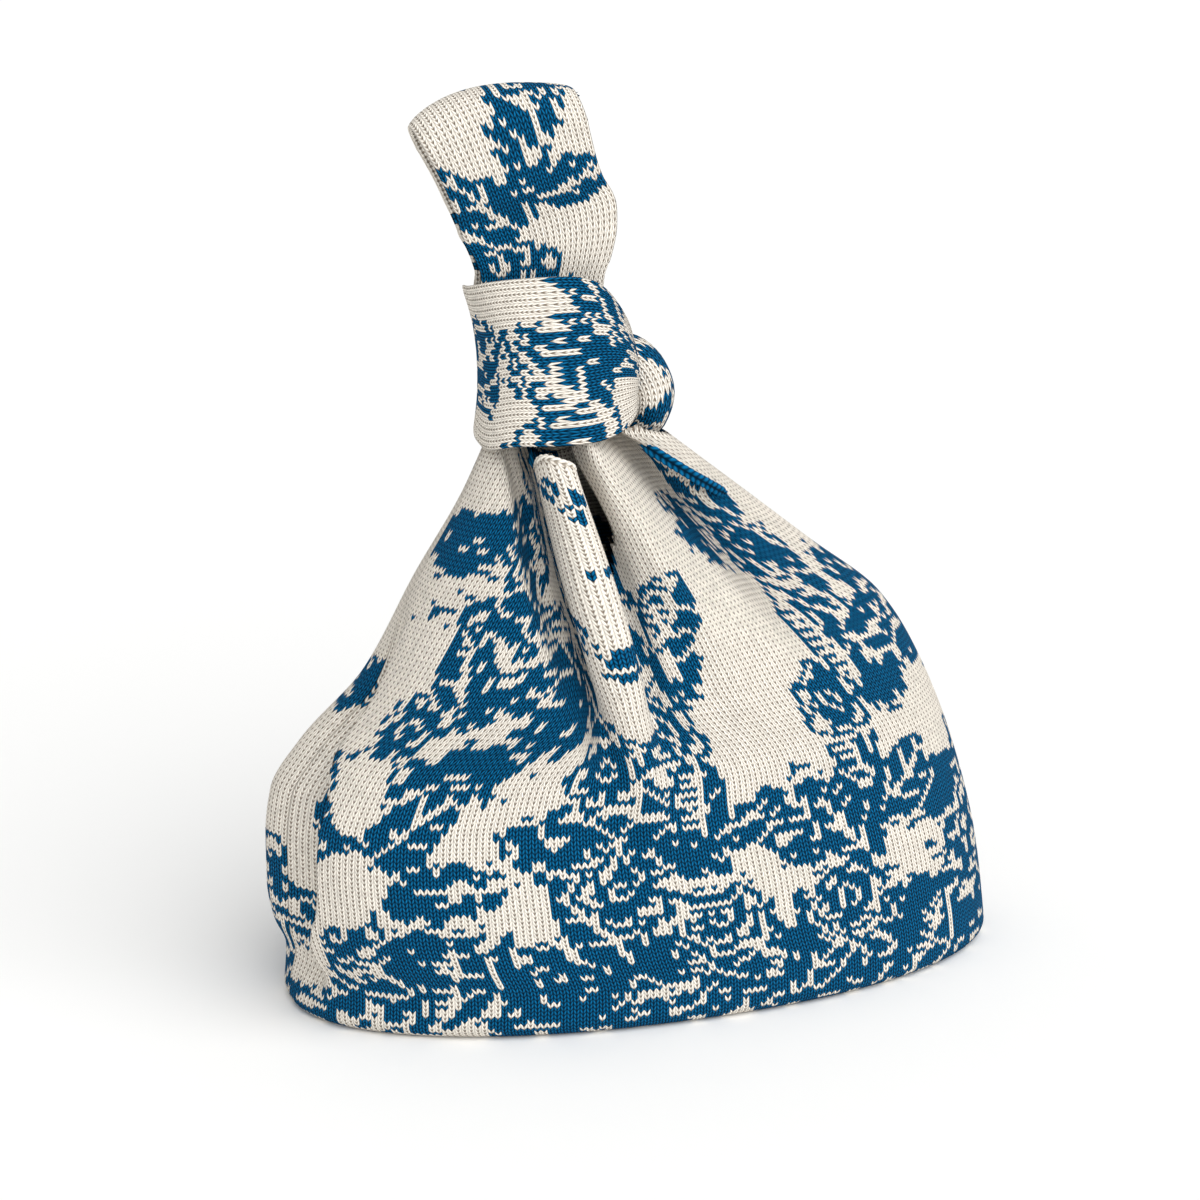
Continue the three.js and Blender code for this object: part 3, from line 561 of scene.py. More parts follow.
def front_point(turn, z, inset, pinch=1.0):
    """Front of the bag: a finger-like roll between two creases, a soft fold, a valley and a flap over it."""
    x, y = outline_point(turn, z, -1, inset)
    share = z / NECK_HEIGHT
    pleat = fold_line(PLEAT_OFFSET, PLEAT_LEAN, z)
    half = pleat_half(z)
    offset = (x - pleat) / half
    tight = smooth_step(*PLEAT_ROLLED, share)
    wrap = np.radians(90 + PLEAT_WRAP * tight)
    angle = np.clip(offset, -1, 1) * wrap
    roll = (np.cos(angle) - np.cos(wrap)) / (1 - np.cos(wrap))
    out = PLEAT_HEIGHT * smooth_step(*PLEAT_RISE, share) * mix(bell(0, 0.95, offset), roll, tight)
    narrow = half * (1 - np.sin(wrap)) * (1 - smooth_step(1, 1.9, np.abs(offset)))
    pulled = np.where(np.abs(offset) < 1, pleat + half * np.sin(angle), x - np.sign(offset) * narrow)
    creases = LEFT_CREASE * bell(-1.5, 0.72, offset) + bell(1.4, 0.48, offset)
    out = out - CREASE_DEPTH * smooth_step(*CREASE_RISE, share) * creases
    side_fold = bell(fold_line(SIDE_FOLD_OFFSET, SIDE_FOLD_LEAN, z), SIDE_FOLD_WIDTH, x)
    valley = bell(fold_line(VALLEY_OFFSET, VALLEY_LEAN, z), VALLEY_WIDTH, x)
    out = out + SIDE_FOLD_HEIGHT * smooth_step(*SIDE_FOLD_RISE, share) * side_fold
    out = out - VALLEY_DEPTH * smooth_step(*VALLEY_RISE, share) * valley
    clear = smooth_step(0, 0.12, turn) * smooth_step(1, 0.88, turn)
    out = np.maximum(out * clear, -FOLD_LIMIT * np.abs(y)) + slack(x, z, -1) * clear
    past_edge = x - fold_line(FLAP_OFFSET, FLAP_LEAN, z)
    flap = smooth_step(-2.6, 0.4, past_edge) * bell(0, FLAP_REACH, np.maximum(past_edge, 0))
    out = out + FLAP_HEIGHT * smooth_step(*FLAP_RISE, share) * flap * smooth_step(1, 0.97, turn)
    x = mix(x, pulled, tight * clear)
    x = x + pinch * np.where(turn < 0.5, side_pinch(y, z), 0)
    return np.stack([x, y - out - PANEL_GAP / 2, z + 0 * x], -1)


def back_point(turn, z, inset, pinch=1.0):
    """Back of the bag: soft gathers run down from the knot."""
    x, y = outline_point(turn, z, 1, inset)
    share = z / NECK_HEIGHT
    clear = smooth_step(0, 0.14, turn) * smooth_step(1, 0.86, turn)
    gathers = np.cos(2 * np.pi * (4.5 * turn + 0.1)) + 0.5 * np.cos(2 * np.pi * (8 * turn + 0.4))
    out = (GATHER_HEIGHT * smooth_step(*GATHER_RISE, share) * gathers + slack(x, z, 1)) * clear
    x = x + pinch * np.where(turn < 0.5, side_pinch(y, z), 0)
    return np.stack([x, y + out + PANEL_GAP / 2, z + 0 * x], -1)


# Courses climb from under the base, round its rolled edge and up to the neck
ROLL_COURSES = 2 * round(EDGE_ROLL * math.pi / 2 / COURSE / 2)
RISE_COURSES = 2 * round((NECK_HEIGHT + TUCK - EDGE_ROLL) * WALL_SLOPE / COURSE / 2)
BODY_COURSES = ROLL_COURSES + RISE_COURSES
COURSE_RISE = (NECK_HEIGHT + TUCK - EDGE_ROLL) / RISE_COURSES

# Turns at which the length of a course is measured
AROUND = np.linspace(0, 1, 2400)


def course_height(course):
    """Height and inset of a course above the floor."""
    roll = np.clip(course / ROLL_COURSES, 0, 1) * math.pi / 2
    rise = np.clip((course - ROLL_COURSES) / (RISE_COURSES + LEG_RISE), 0, 1)
    height = EDGE_ROLL * (1 - np.cos(roll)) + rise * (NECK_HEIGHT + TUCK - EDGE_ROLL)
    return height, EDGE_ROLL * (1 - np.sin(roll))


def wale_turns(point, zones_at):
    """Turn of each half wale at each course: even low down; higher up the spare ones go into the creases."""
    places = np.arange(2 * PANEL_WALES + 1) / 2
    table = []
    for course in range(BODY_COURSES + 2):
        height, inset = course_height(float(course))
        length = running_length(point(AROUND, np.full_like(AROUND, height), inset, GUSSET_STRETCH))
        even = np.interp(places / PANEL_WALES, length / length[-1], AROUND)
        count = np.zeros_like(AROUND)
        done = 0
        for start, end, zone_wales, creases, reach, taken in zones_at(height):
            inside = (AROUND >= start) & (AROUND <= end)
            part = length[inside]
            spare = max(zone_wales * WALE - (part[-1] - part[0]), 0) * taken
            pull = np.zeros_like(part)
            for crease in creases:
                pull += bell(np.interp(crease, AROUND, length), reach, part)
            weight = 1 + spare * pull / max(running_area(pull, part)[-1], 1e-6)
            step = running_area(weight, part)
            count[inside] = done + zone_wales * step / step[-1]
            done += zone_wales
        folded = np.interp(places, count, AROUND)
        table.append(mix(even, folded, smooth_step(0.4, 0.55, height / NECK_HEIGHT)))
    return np.array(table)


def panel_grid(point, zones_at, drop):
    """Corners of every stitch leg on a panel; drop is how far each half wale ends below the neck."""
    table = wale_turns(point, zones_at)
    course = stitch_places(PANEL_WALES, BODY_COURSES)[1]
    course = course - drop / COURSE_RISE * smooth_step(0.78, 1, course / BODY_COURSES)
    row = np.floor(course).astype(int)
    column = np.broadcast_to(np.arange(2 * PANEL_WALES + 1), course.shape)
    turn = mix(table[row, column], table[row + 1, column], course - row)
    height, inset = course_height(course)
    return point(turn, height, inset)


def front_zone_edges(height):
    """Turns of the pleat's two edges and of the side fold's edge; they spread where the folds run out."""
    share = height / NECK_HEIGHT
    pleat = fold_line(PLEAT_OFFSET, PLEAT_LEAN, height)
    half = mix(PLEAT_WALES * WALE / 2, pleat_half(height), smooth_step(0.44, 0.6, share))
    rooms = ((0.42, MOUTH_WALES * WALE), (0.78, 8), (0.87, MOUTH_WIDTH), (0.97, MOUTH_TIP))
    room = curve_through(rooms, share)
    return [float(turn_at(x, height)) for x in (pleat - half, pleat + half, pleat + half + room)]


def side_wales():
    """Wales left of the pleat and right of the mouth, counted where the folds run out."""
    length = running_length(front_point(AROUND, np.full_like(AROUND, FOLD_FOOT), 0.0, GUSSET_STRETCH))
    left, _, fold = front_zone_edges(FOLD_FOOT)
    left_length, fold_length = np.interp((left, fold), AROUND, length)
    return round(left_length / WALE), round((length[-1] - fold_length) / WALE)


LEFT_WALES, RIGHT_WALES = side_wales()
PANEL_WALES = LEFT_WALES + PLEAT_WALES + MOUTH_WALES + RIGHT_WALES


def front_zones(height):
    """Each zone's start, end, wales and creases, the creases' reach and the spare wales they take."""
    left, right, fold = front_zone_edges(height)
    valley = float(turn_at(fold_line(VALLEY_OFFSET, VALLEY_LEAN, height), height))
    return (
        (0, left, LEFT_WALES, [left - 0.006], 3.2, 0.8),
        (left, right, PLEAT_WALES, [], 1, 0),
        (right, fold, MOUTH_WALES, [], 1, 0),
        (fold, 1, RIGHT_WALES, [valley], 5, 0.75),
    )


def back_zones(height):
    return ((0, 1, PANEL_WALES, [0.2, 0.42, 0.64, 0.86], 4, 0.4),)


def front_stitches():
    """The pleat's tip ends in an arch below the knot; its left neighbours follow it into the crease."""
    wale = np.arange(2 * PANEL_WALES + 1) / 2
    across = 2 * (wale - LEFT_WALES) / PLEAT_WALES - 1
    wrap = math.radians(90 + PLEAT_WRAP)
    arch = TIP_DROP + TIP_ARCH * (1 - np.cos(np.clip(across, -1, 1) * wrap))
    drop = arch * smooth_step(-1.2, -0.95, across) * (across <= 1)
    drop = drop + SHOULDER_DROP * smooth_step(PANEL_WALES - SHOULDER_WALES, PANEL_WALES, wale)
    return panel_grid(front_point, front_zones, drop)


def front_panel(grid, material):
    """The flap's upper face stays plain; the pleat and the left ridge show patches of the picture."""
    wale, course = np.meshgrid(np.arange(PANEL_WALES), np.arange(BODY_COURSES))
    flat = wale * WALE, course * COURSE
    blue = picture(*flat, FRONT_SEED)
    x, z = grid[:-1, 1::2, 0], grid[:-1, 1::2, 2]
    past_edge = x - fold_line(FLAP_OFFSET, FLAP_LEAN, z)
    blue[(past_edge > 0) & (past_edge < FLAP_REACH) & (z > FLAP_FOOT)] = 0
    on_pleat = (wale >= LEFT_WALES) & (wale < LEFT_WALES + PLEAT_WALES)
    pale_pleat = PLEAT_PALE * smooth_step(PLEAT_FOOT, PLEAT_FOOT + PLEAT_FADE, z) * on_pleat
    blue[patch_noise(*flat, PLEAT_PATCH, PLEAT_SEED) < pale_pleat] = 0
    on_ridge = smooth_step(RIDGE_WALES, 0.6 * RIDGE_WALES, wale) * smooth_step(0.65, 0.5, z / NECK_HEIGHT)
    blue[patch_noise(*flat, RIDGE_PATCH, RIDGE_SEED) < RIDGE_PALE * on_ridge] = 0
    height = course_height(course[::2] + 1.0)[0]
    past_pleat = wale[::2] - LEFT_WALES - PLEAT_WALES
    in_mouth = (past_pleat >= 0) & (past_pleat < MOUTH_WALES)
    kept = ~(in_mouth & (height > MOUTH_FLOOR + MOUTH_SLOPE * past_pleat))
    return knit_shell("front_panel_knit", grid, thickened(grid, KNIT_THICKNESS), blue, material, kept)


def back_panel(material):
    flipped = lambda turn, z, inset, pinch=1.0: back_point(1 - turn, z, inset, pinch)
    drop = SHOULDER_DROP * smooth_step(SHOULDER_WALES, 0, np.arange(2 * PANEL_WALES + 1) / 2)
    grid = panel_grid(flipped, back_zones, drop)
    blue = stitch_chart(PANEL_WALES, BODY_COURSES, BACK_SEED)
    return knit_shell("back_panel_knit", grid, thickened(grid, KNIT_THICKNESS), blue, material)


def base_outline(inset, z, count):
    around = 2 * np.arange(count) / count
    turn = np.where(around < 1, around, 2 - around)
    x, y = outline_point(turn, 0 * turn, np.where(around < 1, -1, 1), inset)
    return np.stack([x, y, np.full(count, float(z))], 1)


def base_panel(material):
    """Base: each course runs across the bag, as wide as the outline is there."""
    inset = EDGE_ROLL + 0.6
    turn = np.linspace(0, 1, 801)
    edge_x, edge_y = outline_point(turn, 0 * turn, 1, inset)
    half = int(np.argmax(edge_y))
    wales = int((edge_x[-1] - edge_x[0]) / WALE)
    courses = 2 * int(edge_y[half] / COURSE)
    wale, course = stitch_places(wales, courses)
    y = edge_y[half] * (1 - 2 * (course + 0.6) / (courses + LEG_RISE + 1.2))
    left = np.interp(np.abs(y), edge_y[:half + 1], edge_x[:half + 1])
    right = np.interp(np.abs(y), edge_y[half:][::-1], edge_x[half:][::-1])
    grid = np.stack([mix(left, right, wale / wales), y, 0 * y], 2)
    blue = np.zeros((courses, wales))
    return knit_shell("base_panel_knit", grid, grid + (0, 0, KNIT_THICKNESS), blue, material)


# The knot

def axis_x(z):
    return KNOT_OFFSET - (z - NECK_HEIGHT) * KNOT_SLOPE


def band_point(turn, row, swell=0.0):
    """Short handle round the long one: turn runs from the right, over the back, the left and the front."""
    angle = 2 * np.pi * turn
    right = bell(0, 0.1, turn - np.round(turn))
    backward = (1 + np.sin(angle)) / 2
    rightward = (1 + np.cos(angle)) / 2
    wave = 0.9 * np.sin(3 * angle + 0.8) + 0.6 * np.sin(5 * angle)
    rising = bell(-0.02, 0.15, turn - np.round(turn))
    low = NECK_HEIGHT + BAND_RIGHT_RISE * rising + wave * (1 - rising)
    high = NECK_HEIGHT + BAND_HEIGHT - BAND_RIGHT_DROP * right - BAND_BACK_DROP * backward * (1 - right)
    z = mix(low, high, row)
    share = (z - NECK_HEIGHT) / BAND_HEIGHT
    puff = np.sin(np.pi * row) * mix(-BAND_WAIST, BAND_BULGE, rightward) + swell
    puff = puff + 0.7 * np.sin(2 * angle + 5 * row) * np.sin(np.pi * row)
    open_side = BAND_RIGHT_FLARE * rightward**3 * smooth_step(0.2, 0.7, share)
    half = mix(BAND_FOOT_HALF, BAND_TOP_HALF, share) + puff + open_side
    deep = BAND_DEPTH / 2 - BAND_TAPER * share + np.maximum(puff, 0)
    rounded = lambda value: np.sign(value) * np.abs(value) ** BAND_CORNER
    return np.stack([axis_x(z) + half * rounded(np.cos(angle)), deep * rounded(np.sin(angle)), z], -1)


def knot_band(material):
    """The stitches lie on their side here: wales run round the knot."""
    wale, course = stitch_places(BAND_WALES, BAND_COURSES)
    row = wale / BAND_WALES
    turn = SEAM_TURN + course / (BAND_COURSES + LEG_RISE)
    edge = np.sqrt(np.maximum(1 - np.abs(2 * row - 1) ** 10, 0.02))
    grid = band_point(turn, 1 - row, -0.3 * BAND_WALL * (1 - edge))
    across, along = np.meshgrid(np.arange(BAND_WALES), np.arange(BAND_COURSES))
    blue = picture(along * COURSE, BAND_CUT + (BAND_WALES - across) * WALE, BAND_SEED)
    inner = thickened(grid, BAND_WALL * edge[..., None])
    return knit_shell("short_handle_band_knit", grid, inner, blue, material)


def knot_seam(material):
    row = np.linspace(0.06, 0.94, 20)
    path = band_point(np.full(20, SEAM_TURN), row, -SEAM_RADIUS * 0.5)
    return chain_cord("short_handle_linking_seam", path, SEAM_RADIUS, 1.0, material)


def turned_leg(material):
    """The end of the short handle, turned down beside the knot as a soft roll round these stops."""
    right = KNOT_OFFSET + BAND_FOOT_HALF
    stops = (
        (right - 10, 13, NECK_HEIGHT + 29),
        (right - 2, 10, NECK_HEIGHT + 26.5),
        (right + 3.5, 7, NECK_HEIGHT + 20),
        (right + 6, 5, NECK_HEIGHT + 11.5),
        (right + 5, 6, NECK_HEIGHT + 3.5),
        (right + 1, 8, NECK_HEIGHT - 3),
    )
    at = np.linspace(0, len(stops) - 1, 60)
    path = np.stack([curve_through([(n, stop[k]) for n, stop in enumerate(stops)], at) for k in range(3)], 1)
    radius = TURN_RADIUS * (0.5 + 0.5 * np.sin(np.pi * (0.1 + 0.8 * at / at[-1])))
    blue = stitch_chart(LEG_WALES, round(running_length(path)[-1] / COURSE), LEG_SEED, BAND_CUT)
    return chain_cord("short_handle_turned_leg_knit", path, radius, blue, material, LEG_WALES)


# The long handle

LEAN = math.radians(LOOP_LEAN)
LOOP_ACROSS = np.array([math.cos(LEAN), 0, math.sin(LEAN)])
LOOP_UP = np.array([-math.sin(LEAN), 0, math.cos(LEAN)])
HINGE = np.array([axis_x(HINGE_HEIGHT), 0, HINGE_HEIGHT])
STRAP_FOOT = NECK_HEIGHT + TUCK + 1
STRAP_RISE = HINGE_HEIGHT - STRAP_FOOT
BEND = LOOP_DEPTH / 2
SIDE_LENGTH = STRAP_RISE + LOOP_RISE - BEND
BEND_LENGTH = math.pi * BEND / 2


def handle_point(across, length):
    """across from -1 to 1; length runs up the front, over the top and down the back."""
    total = 2 * (SIDE_LENGTH + BEND_LENGTH)
    side = np.where(length < total / 2, -1.0, 1.0)
    length = np.minimum(length, total - length)
    bend = np.clip((length - SIDE_LENGTH) / BEND_LENGTH, 0, 1) * np.pi / 2
    up = np.minimum(length, SIDE_LENGTH) - STRAP_RISE + BEND * np.sin(bend)

    # Half depth, width and shift to the right, each against the height above the hinge
    depths = ((-STRAP_RISE, STRAP_DEPTH), (-18, STRAP_DEPTH), (-5, 5), (0, 5), (12, 9.5),
              (LOOP_RISE - BEND, BEND))
    widths = ((-STRAP_RISE, STRAP_WIDTH), (-22, STRAP_WIDTH), (-16, 51), (-8, 56.5), (0, LOOP_FOOT_WIDTH),
              (10, LOOP_WAIST_WIDTH), (LOOP_RISE, LOOP_TOP_WIDTH))
    shifts = ((-STRAP_RISE, 0), (-28, 1), (-16, 4), (-8, 5.2), (0, 4.4), (10, 1.6), (22, -0.5),
              (LOOP_RISE, -4.5))
    deep = curve_through(depths, up) * np.cos(bend)
    half = curve_through(widths, up) / 2
    tilt = smooth_step(-22, 2, up)[..., None]
    sideways = mix(np.array([1.0, 0, 0]), LOOP_ACROSS, tilt)
    below = HINGE - np.array([-KNOT_SLOPE, 0, 1.0]) * np.maximum(-up, 0)[..., None]
    arch = LOOP_ARCH * (1 - across**2) * (1 - 0.35 * across) * smooth_step(0.35, 1, up / LOOP_RISE)
    middle = below + LOOP_UP * (np.maximum(up, 0) + arch)[..., None]
    cup = 1.4 * smooth_step(-5, 20, up) * across**2
    point = middle + sideways * (across * half + curve_through(shifts, up))[..., None]
    point[..., 1] = side * np.maximum(deep - cup * np.cos(bend), 0)
    return point


def long_handle(material):
    courses = 2 * round((SIDE_LENGTH + BEND_LENGTH) / COURSE)
    wale, course = stitch_places(HANDLE_WALES, courses)
    across = 2 * wale / HANDLE_WALES - 1
    length = course / (courses + LEG_RISE) * 2 * (SIDE_LENGTH + BEND_LENGTH)
    grid = handle_point(across, length)
    edge = np.sqrt(np.maximum(1 - np.abs(across) ** 8, 0.03))[..., None]
    grid = thickened(grid, 0.5 * HANDLE_PLY * (1 - edge))
    blue = stitch_chart(HANDLE_WALES, courses, HANDLE_SEED)
    return knit_shell("long_handle_knit", grid, thickened(grid, HANDLE_PLY * edge), blue, material)


def handle_seam(material):
    across = np.linspace(-0.46, 0.46, 24)
    height = LOOP_RISE - HANDLE_PLY - SEAM_RADIUS - 0.4
    path = HINGE + LOOP_UP * height + LOOP_ACROSS * (across * LOOP_TOP_WIDTH)[:, None]
    return chain_cord("long_handle_linking_seam", path, SEAM_RADIUS, 1.0, material)


# Chains along the edges and seams inside

def pleat_rim(grid, material):
    """Ivory chain that arches over the pleat's tip."""
    tip = slice(2 * LEFT_WALES, 2 * (LEFT_WALES + PLEAT_WALES) + 1, 2)
    path = (grid[-1, tip] + thickened(grid, KNIT_THICKNESS)[-1, tip]) / 2 + (0, -0.4, 0.6)
    return chain_cord("front_mouth_rim_chain", path, RIM_RADIUS, 0.0, material,
                      around=2, course=CHAIN_COURSE, split=4, relief=0.35)


def back_rim(material):
    turn = np.linspace(0.28, 0.68, 40)
    z = NECK_HEIGHT - 4 - 4 * np.sin(np.pi * np.linspace(0, 1, 40))
    path = back_point(turn, z, KNIT_THICKNESS + RIM_RADIUS)
    return chain_cord("back_mouth_rim_chain", path, RIM_RADIUS, 0.0, material)


def shoulder_chain(material):
    """Blue chain along the edge of the shoulder's flap."""
    z = NECK_HEIGHT - np.linspace(CHAIN_TOP_DROP, CHAIN_FOOT_DROP, 40)
    path = front_point(turn_at(fold_line(FLAP_OFFSET, FLAP_LEAN, z), z), z, 0.0)
    along = np.linspace(0, 1, len(z))
    path[:, 1] += mix(-0.4, 2.4, smooth_step(0.15, 0, along) + smooth_step(0.75, 1, along))
    radius = CHAIN_RADIUS * mix(0.35, 1, smooth_step(0, 0.12, along) * smooth_step(1, 0.78, along))
    return chain_cord("shoulder_edge_chain_knit", path, radius, 1.0, material,
                      around=2, course=CHAIN_COURSE, split=4, relief=0.5)


def side_seam(name, end, material):
    z = np.linspace(EDGE_ROLL + 4, NECK_HEIGHT * 0.84, 90)
    x = outline_point(np.full_like(z, end), z, -1, 0.0)[0]
    x = x + (side_pinch(0 * z, z) if end == 0 else 0)
    inward = 1 if end == 0 else -1
    path = np.stack([x + inward * (KNIT_THICKNESS + SEAM_RADIUS + 2), 0 * z, z], 1)
    return chain_cord(name, path, SEAM_RADIUS, 1.0, material)


def base_seam(material):
    path = base_outline(EDGE_ROLL + 2 * SEAM_RADIUS + 0.3, KNIT_THICKNESS + SEAM_RADIUS + 0.3, 240)
    return chain_cord("base_linking_seam", path, SEAM_RADIUS, 1.0, material, closed=True)


# Materials

def linear(hex_colour):
    """sRGB hex to the linear colour that Blender mixes with."""
    parts = [int(hex_colour[k:k + 2], 16) / 255 for k in (1, 3, 5)]
    return [p / 12.92 if p <= 0.04045 else ((p + 0.055) / 1.055) ** 2.4 for p in parts] + [1.0]


def add_node(tree, kind, inputs=(), output=0, **settings):
    """Adds a node, sets it, fills its inputs with values or other nodes' outputs, and gives one output."""
    node = tree.nodes.new("ShaderNode" + kind)
    for key, value in settings.items():
        setattr(node, key, value)
    for key, value in (inputs if isinstance(inputs, dict) else dict(enumerate(inputs))).items():
        if isinstance(value, bpy.types.NodeSocket):
            tree.links.new(value, node.inputs[key])
        else:
            node.inputs[key].default_value = value
    return None if output is None else node.outputs[output]


def knit_material(name, ivory_shade_colour):
    """Combed cotton, knitted: matt plump legs in rows, with shade painted into the grooves between them and
    into the small holes where the legs part.
    """
    material = bpy.data.materials.new(name)
    material.use_nodes = True
    material.node_tree.nodes.clear()
    node = functools.partial(add_node, material.node_tree)

    # Each leg of a stitch is plump along its middle and sinks where it links into the next stitch
    stitch = node("UVMap", uv_map="stitch")
    waves = []
    for axis, turn in (("X", 2 * math.pi), ("Y", math.pi)):
        angle = node("Math", [node("SeparateXYZ", [stitch], output=axis), turn], operation="MULTIPLY")
        waves.append(node("Math", [node("Math", [angle], operation="SINE")], operation="ABSOLUTE"))
    leg = node("Math", [waves[0], 0.6], operation="POWER")
    link = node("Math", [waves[1], 0.62, 0.38], operation="MULTIPLY_ADD")
    plump = node("Math", [leg, link], operation="MULTIPLY")

    # Hole at the foot of each stitch, by the millimetres from the place where its legs part; it takes painted
    # shade in the colour and sinks in the bump
    place = node("VectorMath", [stitch, (0, 0.5, 0)], operation="ADD")
    place = node("VectorMath", [node("VectorMath", [place], operation="FRACTION"), (0.5, 0.5, 0)],
                 operation="SUBTRACT")
    place = node("VectorMath", [place, (WALE, COURSE, 0)], operation="MULTIPLY")
    distance = node("VectorMath", [place], output="Value", operation="LENGTH")
    hole = node("MapRange", [distance, HOLE_HEART, HOLE_EDGE, 1.0, 0.0], interpolation_type="SMOOTHSTEP")

    # Which yarn and tone each stitch has, and the yarn's own unevenness
    body = node("TexCoord", output="Object")
    fibre = node("TexNoise", {"Vector": body, "Scale": 1 / (FIBRE * MM), "Detail": 3.0})
    cloud = node("TexNoise", {"Vector": body, "Scale": 1 / (BLOTCH * MM), "Detail": 2.0})
    yarn = node("Attribute", output="Fac", attribute_name="yarn")
    tone = node("Attribute", output="Fac", attribute_name="tone")

    # Colours of the lit yarn and of the shade painted into its hollows
    colours = ((IVORY, BLUE), (ivory_shade_colour, BLUE_HOLLOW_SHADE))
    lit, hollow_shade_colour = (node("Mix", {0: yarn, 6: linear(ivory), 7: linear(blue)}, output=2, data_type="RGBA")
                   for ivory, blue in colours)

    # Painted shade between the legs is deeper on the blue yarn, and painted shade in the holes shows more on
    # the ivory: what blue adds, and the ivory's own value, for the foot, crest and share of the groove's
    # painted shade and for the share of the hole's painted shade
    values = ((0.17, 0.05), (0.2, 0.78), (0.69, 0.25), (-0.05, 0.8))
    foot, crest, groove_share, hole_share = (
        node("Math", [yarn, added, own], operation="MULTIPLY_ADD") for added, own in values)
    groove = node("MapRange", [plump, foot, crest, 1.0, 0.0], interpolation_type="SMOOTHSTEP")
    groove = node("Math", [groove, groove_share], operation="MULTIPLY")
    hole_depth = node("Math", [hole, hole_share], operation="MULTIPLY")
    depth = node("Math", [groove, hole_depth], operation="MAXIMUM")
    # Painted shade: the lit colour goes over to the hollows' shade colour by the depth of groove and hole
    shaded_colour = node("Mix", {0: depth, 6: lit, 7: hollow_shade_colour}, output=2, data_type="RGBA")

    # Each leg has its own tone, with finer fibres and broad faint blotches
    shade = 0.74
    for part, share in ((tone, 0.2), (fibre, 0.22), (cloud, 0.1)):
        shade = node("Math", [part, share, shade], operation="MULTIPLY_ADD")
    grey = node("CombineColor", [shade, shade, shade])
    colour = node("Mix", {0: 1.0, 6: shaded_colour, 7: grey}, output=2, data_type="RGBA", blend_type="MULTIPLY")

    relief = node("Math", [fibre, 0.2, plump], operation="MULTIPLY_ADD")
    relief = node("Math", [hole, -0.6, relief], operation="MULTIPLY_ADD")
    bump = node("Bump", {"Height": relief, "Strength": 1.0, "Distance": RELIEF * MM})
    rough = node("Math", [fibre, 0.12, 0.84], operation="MULTIPLY_ADD")
    shader = node("BsdfPrincipled", {
        "Base Color": colour, "Roughness": rough, "Normal": bump,
        "Specular IOR Level": 0.04, "Sheen Weight": 0.01, "Sheen Roughness": 0.5})
    node("OutputMaterial", [shader], output=None)
    return material


def floor_material():
    """White paper off a roll: matt, without a highlight."""
    material = bpy.data.materials.new("studio_paper")
    material.use_nodes = True
    shader = material.node_tree.nodes["Principled BSDF"]
    shader.inputs["Base Color"].default_value = linear(PAPER)
    shader.inputs["Roughness"].default_value = 0.95
    shader.inputs["Specular IOR Level"].default_value = 0.0
    return material


# Camera, light and floor

def place_camera():
    azimuth, rise = math.radians(CAMERA_AZIMUTH), math.radians(CAMERA_RISE)
    back = Vector((math.sin(azimuth) * math.cos(rise), -math.cos(azimuth) * math.cos(rise), math.sin(rise)))
    lens = bpy.data.cameras.new("camera")
    lens.lens = CAMERA_LENS
    lens.shift_x, lens.shift_y = CAMERA_SHIFT
    camera = bpy.data.objects.new("camera", lens)
    camera.location = CAMERA_TARGET + back * CAMERA_DISTANCE
    camera.rotation_euler = (-back).to_track_quat("-Z", "Y").to_euler()
    bpy.context.scene.collection.objects.link(camera)
    bpy.context.scene.camera = camera


def place_light():
    """A broad window, a softer fill from all round, and a background that is seen as white."""
    scene = bpy.context.scene
    scene.view_settings.view_transform = "Standard"
    sun = bpy.data.lights.new("window_light", "SUN")
    sun.energy = WINDOW_STRENGTH
    sun.angle = math.radians(WINDOW_SPREAD)
    lamp = bpy.data.objects.new("window_light", sun)
    lamp.rotation_euler = WINDOW_HEADING.to_track_quat("-Z", "Y").to_euler()
    scene.collection.objects.link(lamp)
    world = bpy.data.worlds.new("studio")
    scene.world = world
    world.use_nodes = True
    tree = world.node_tree
    tree.nodes.clear()
    seen = add_node(tree, "LightPath", output="Is Camera Ray")
    for kind in ("Is Glossy Ray", "Is Transmission Ray"):
        seen = add_node(tree, "Math", [seen, add_node(tree, "LightPath", output=kind)], operation="MAXIMUM")
    soft = add_node(tree, "Background", [linear(WHITE), FILL_STRENGTH])
    white = add_node(tree, "Background", [linear(WHITE), 1.0])
    both = add_node(tree, "MixShader", [seen, soft, white])
    add_node(tree, "OutputWorld", [both], output=None)


def place_floor():
    mesh = bpy.data.meshes.new("floor")
    corners = [(x * FLOOR_REACH, y * FLOOR_REACH, 0) for x, y in ((-1, -1), (1, -1), (1, 1), (-1, 1))]
    mesh.from_pydata(corners, [], [(0, 1, 2, 3)])
    mesh.materials.append(floor_material())
    floor = bpy.data.objects.new("floor", mesh)
    bpy.context.scene.collection.objects.link(floor)


place_camera()
place_light()
place_floor()
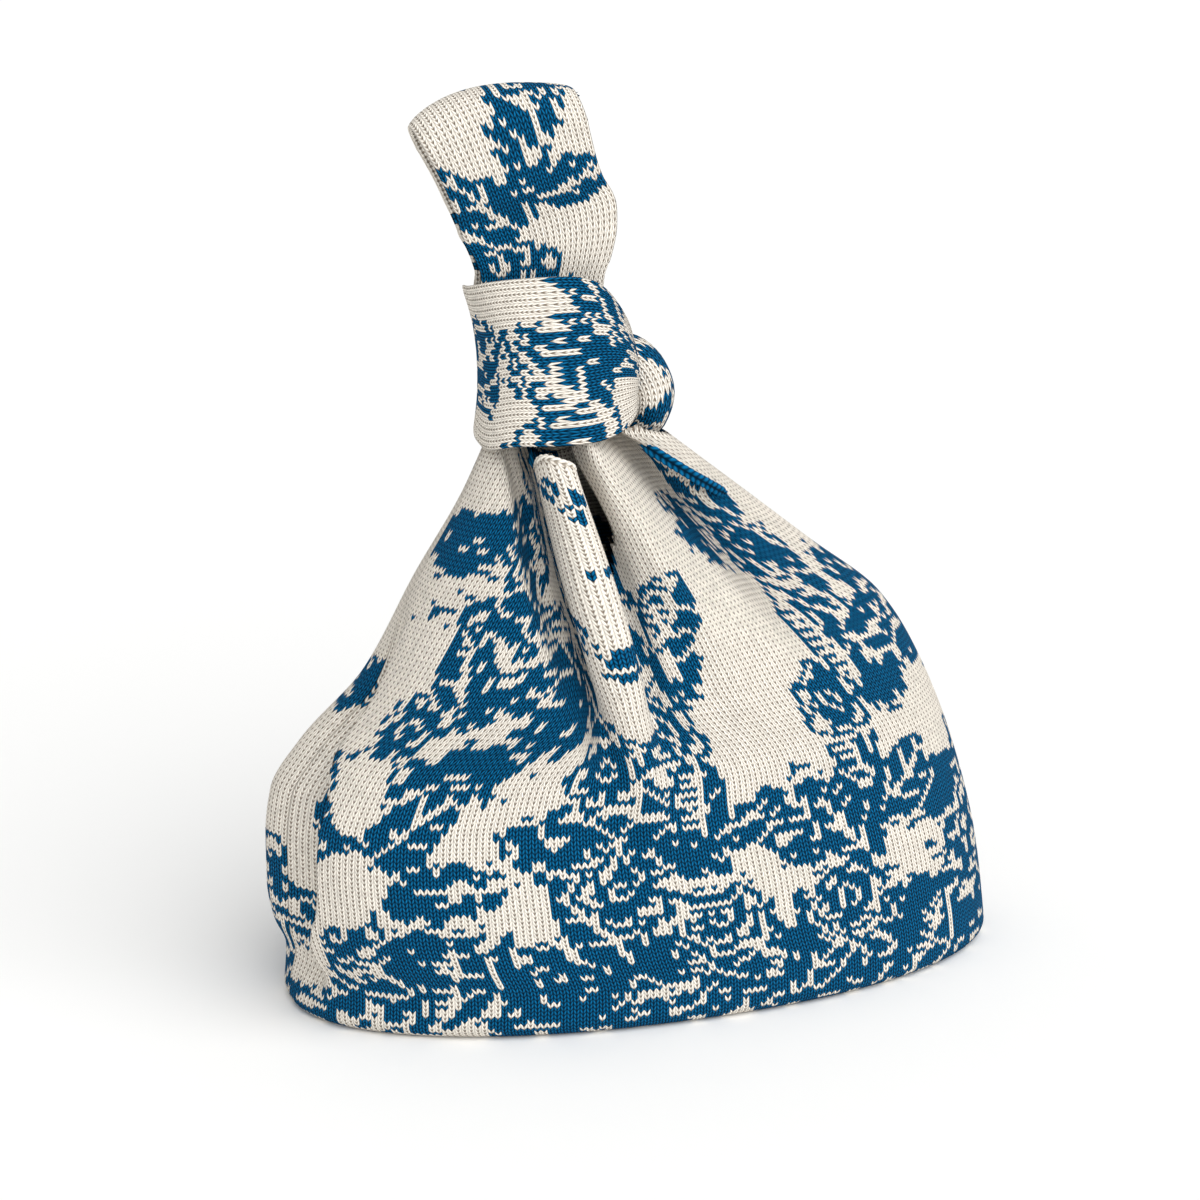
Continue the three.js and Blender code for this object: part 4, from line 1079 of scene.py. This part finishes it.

# The jacquard's holes and grooves take dark painted shade, the ivory chain's painted hollow shade is lighter
# as it is open to the light, and the linking yarn is a deep blue
jacquard = knit_material("combed_cotton_jacquard_knit", IVORY_HOLLOW_SHADE)
ivory_chain = knit_material("combed_cotton_ivory_chain", CHAIN_HOLLOW_SHADE)
blue_chain = knit_material("combed_cotton_blue_linking_yarn", IVORY_HOLLOW_SHADE)

front_grid = front_stitches()
front = front_panel(front_grid, jacquard)
back = back_panel(jacquard)
base = base_panel(jacquard)
band = knot_band(jacquard)
leg = turned_leg(jacquard)
handle = long_handle(jacquard)
front_rim = pleat_rim(front_grid, ivory_chain)
rear_rim = back_rim(ivory_chain)
ridge_chain = shoulder_chain(blue_chain)
left_seam = side_seam("left_linking_seam", 0, blue_chain)
right_seam = side_seam("right_linking_seam", 1, blue_chain)
floor_seam = base_seam(blue_chain)
band_seam = knot_seam(blue_chain)
loop_seam = handle_seam(blue_chain)

# What each piece stands for, what it moves with and the name of the finish listed for it, which nothing here
# reads
DRESSED = (
    (front, "bag", "jacquard_knit", ["front_panel"]),
    (back, "bag", "jacquard_knit", ["back_panel"]),
    (base, "bag", "jacquard_knit", ["base_panel"]),
    (front_rim, "bag", "ivory_yarn", ["front_mouth_rim"]),
    (rear_rim, "bag", "ivory_yarn", ["back_mouth_rim"]),
    (ridge_chain, "bag", "blue_yarn", ["shoulder_edge_chain"]),
    (left_seam, "bag", "blue_yarn", ["left_side_seam"]),
    (right_seam, "bag", "blue_yarn", ["right_side_seam"]),
    (floor_seam, "bag", "blue_yarn", ["base_seam"]),
    (band, "knot", "jacquard_knit", ["short_handle_front_band", "short_handle_back_band"]),
    (band_seam, "knot", "blue_yarn", ["short_handle_seam"]),
    (loop_seam, "handle_loop", "blue_yarn", ["long_handle_top_seam"]),
)
for piece, body, slot, nodes in DRESSED:
    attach(piece, body)
    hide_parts(*nodes)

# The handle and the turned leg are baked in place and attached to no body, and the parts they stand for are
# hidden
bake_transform(handle)
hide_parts("long_handle_front_root", "long_handle_back_root",
            "long_handle_front_loop", "long_handle_back_loop")
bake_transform(leg)
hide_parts("short_handle_turned_leg")
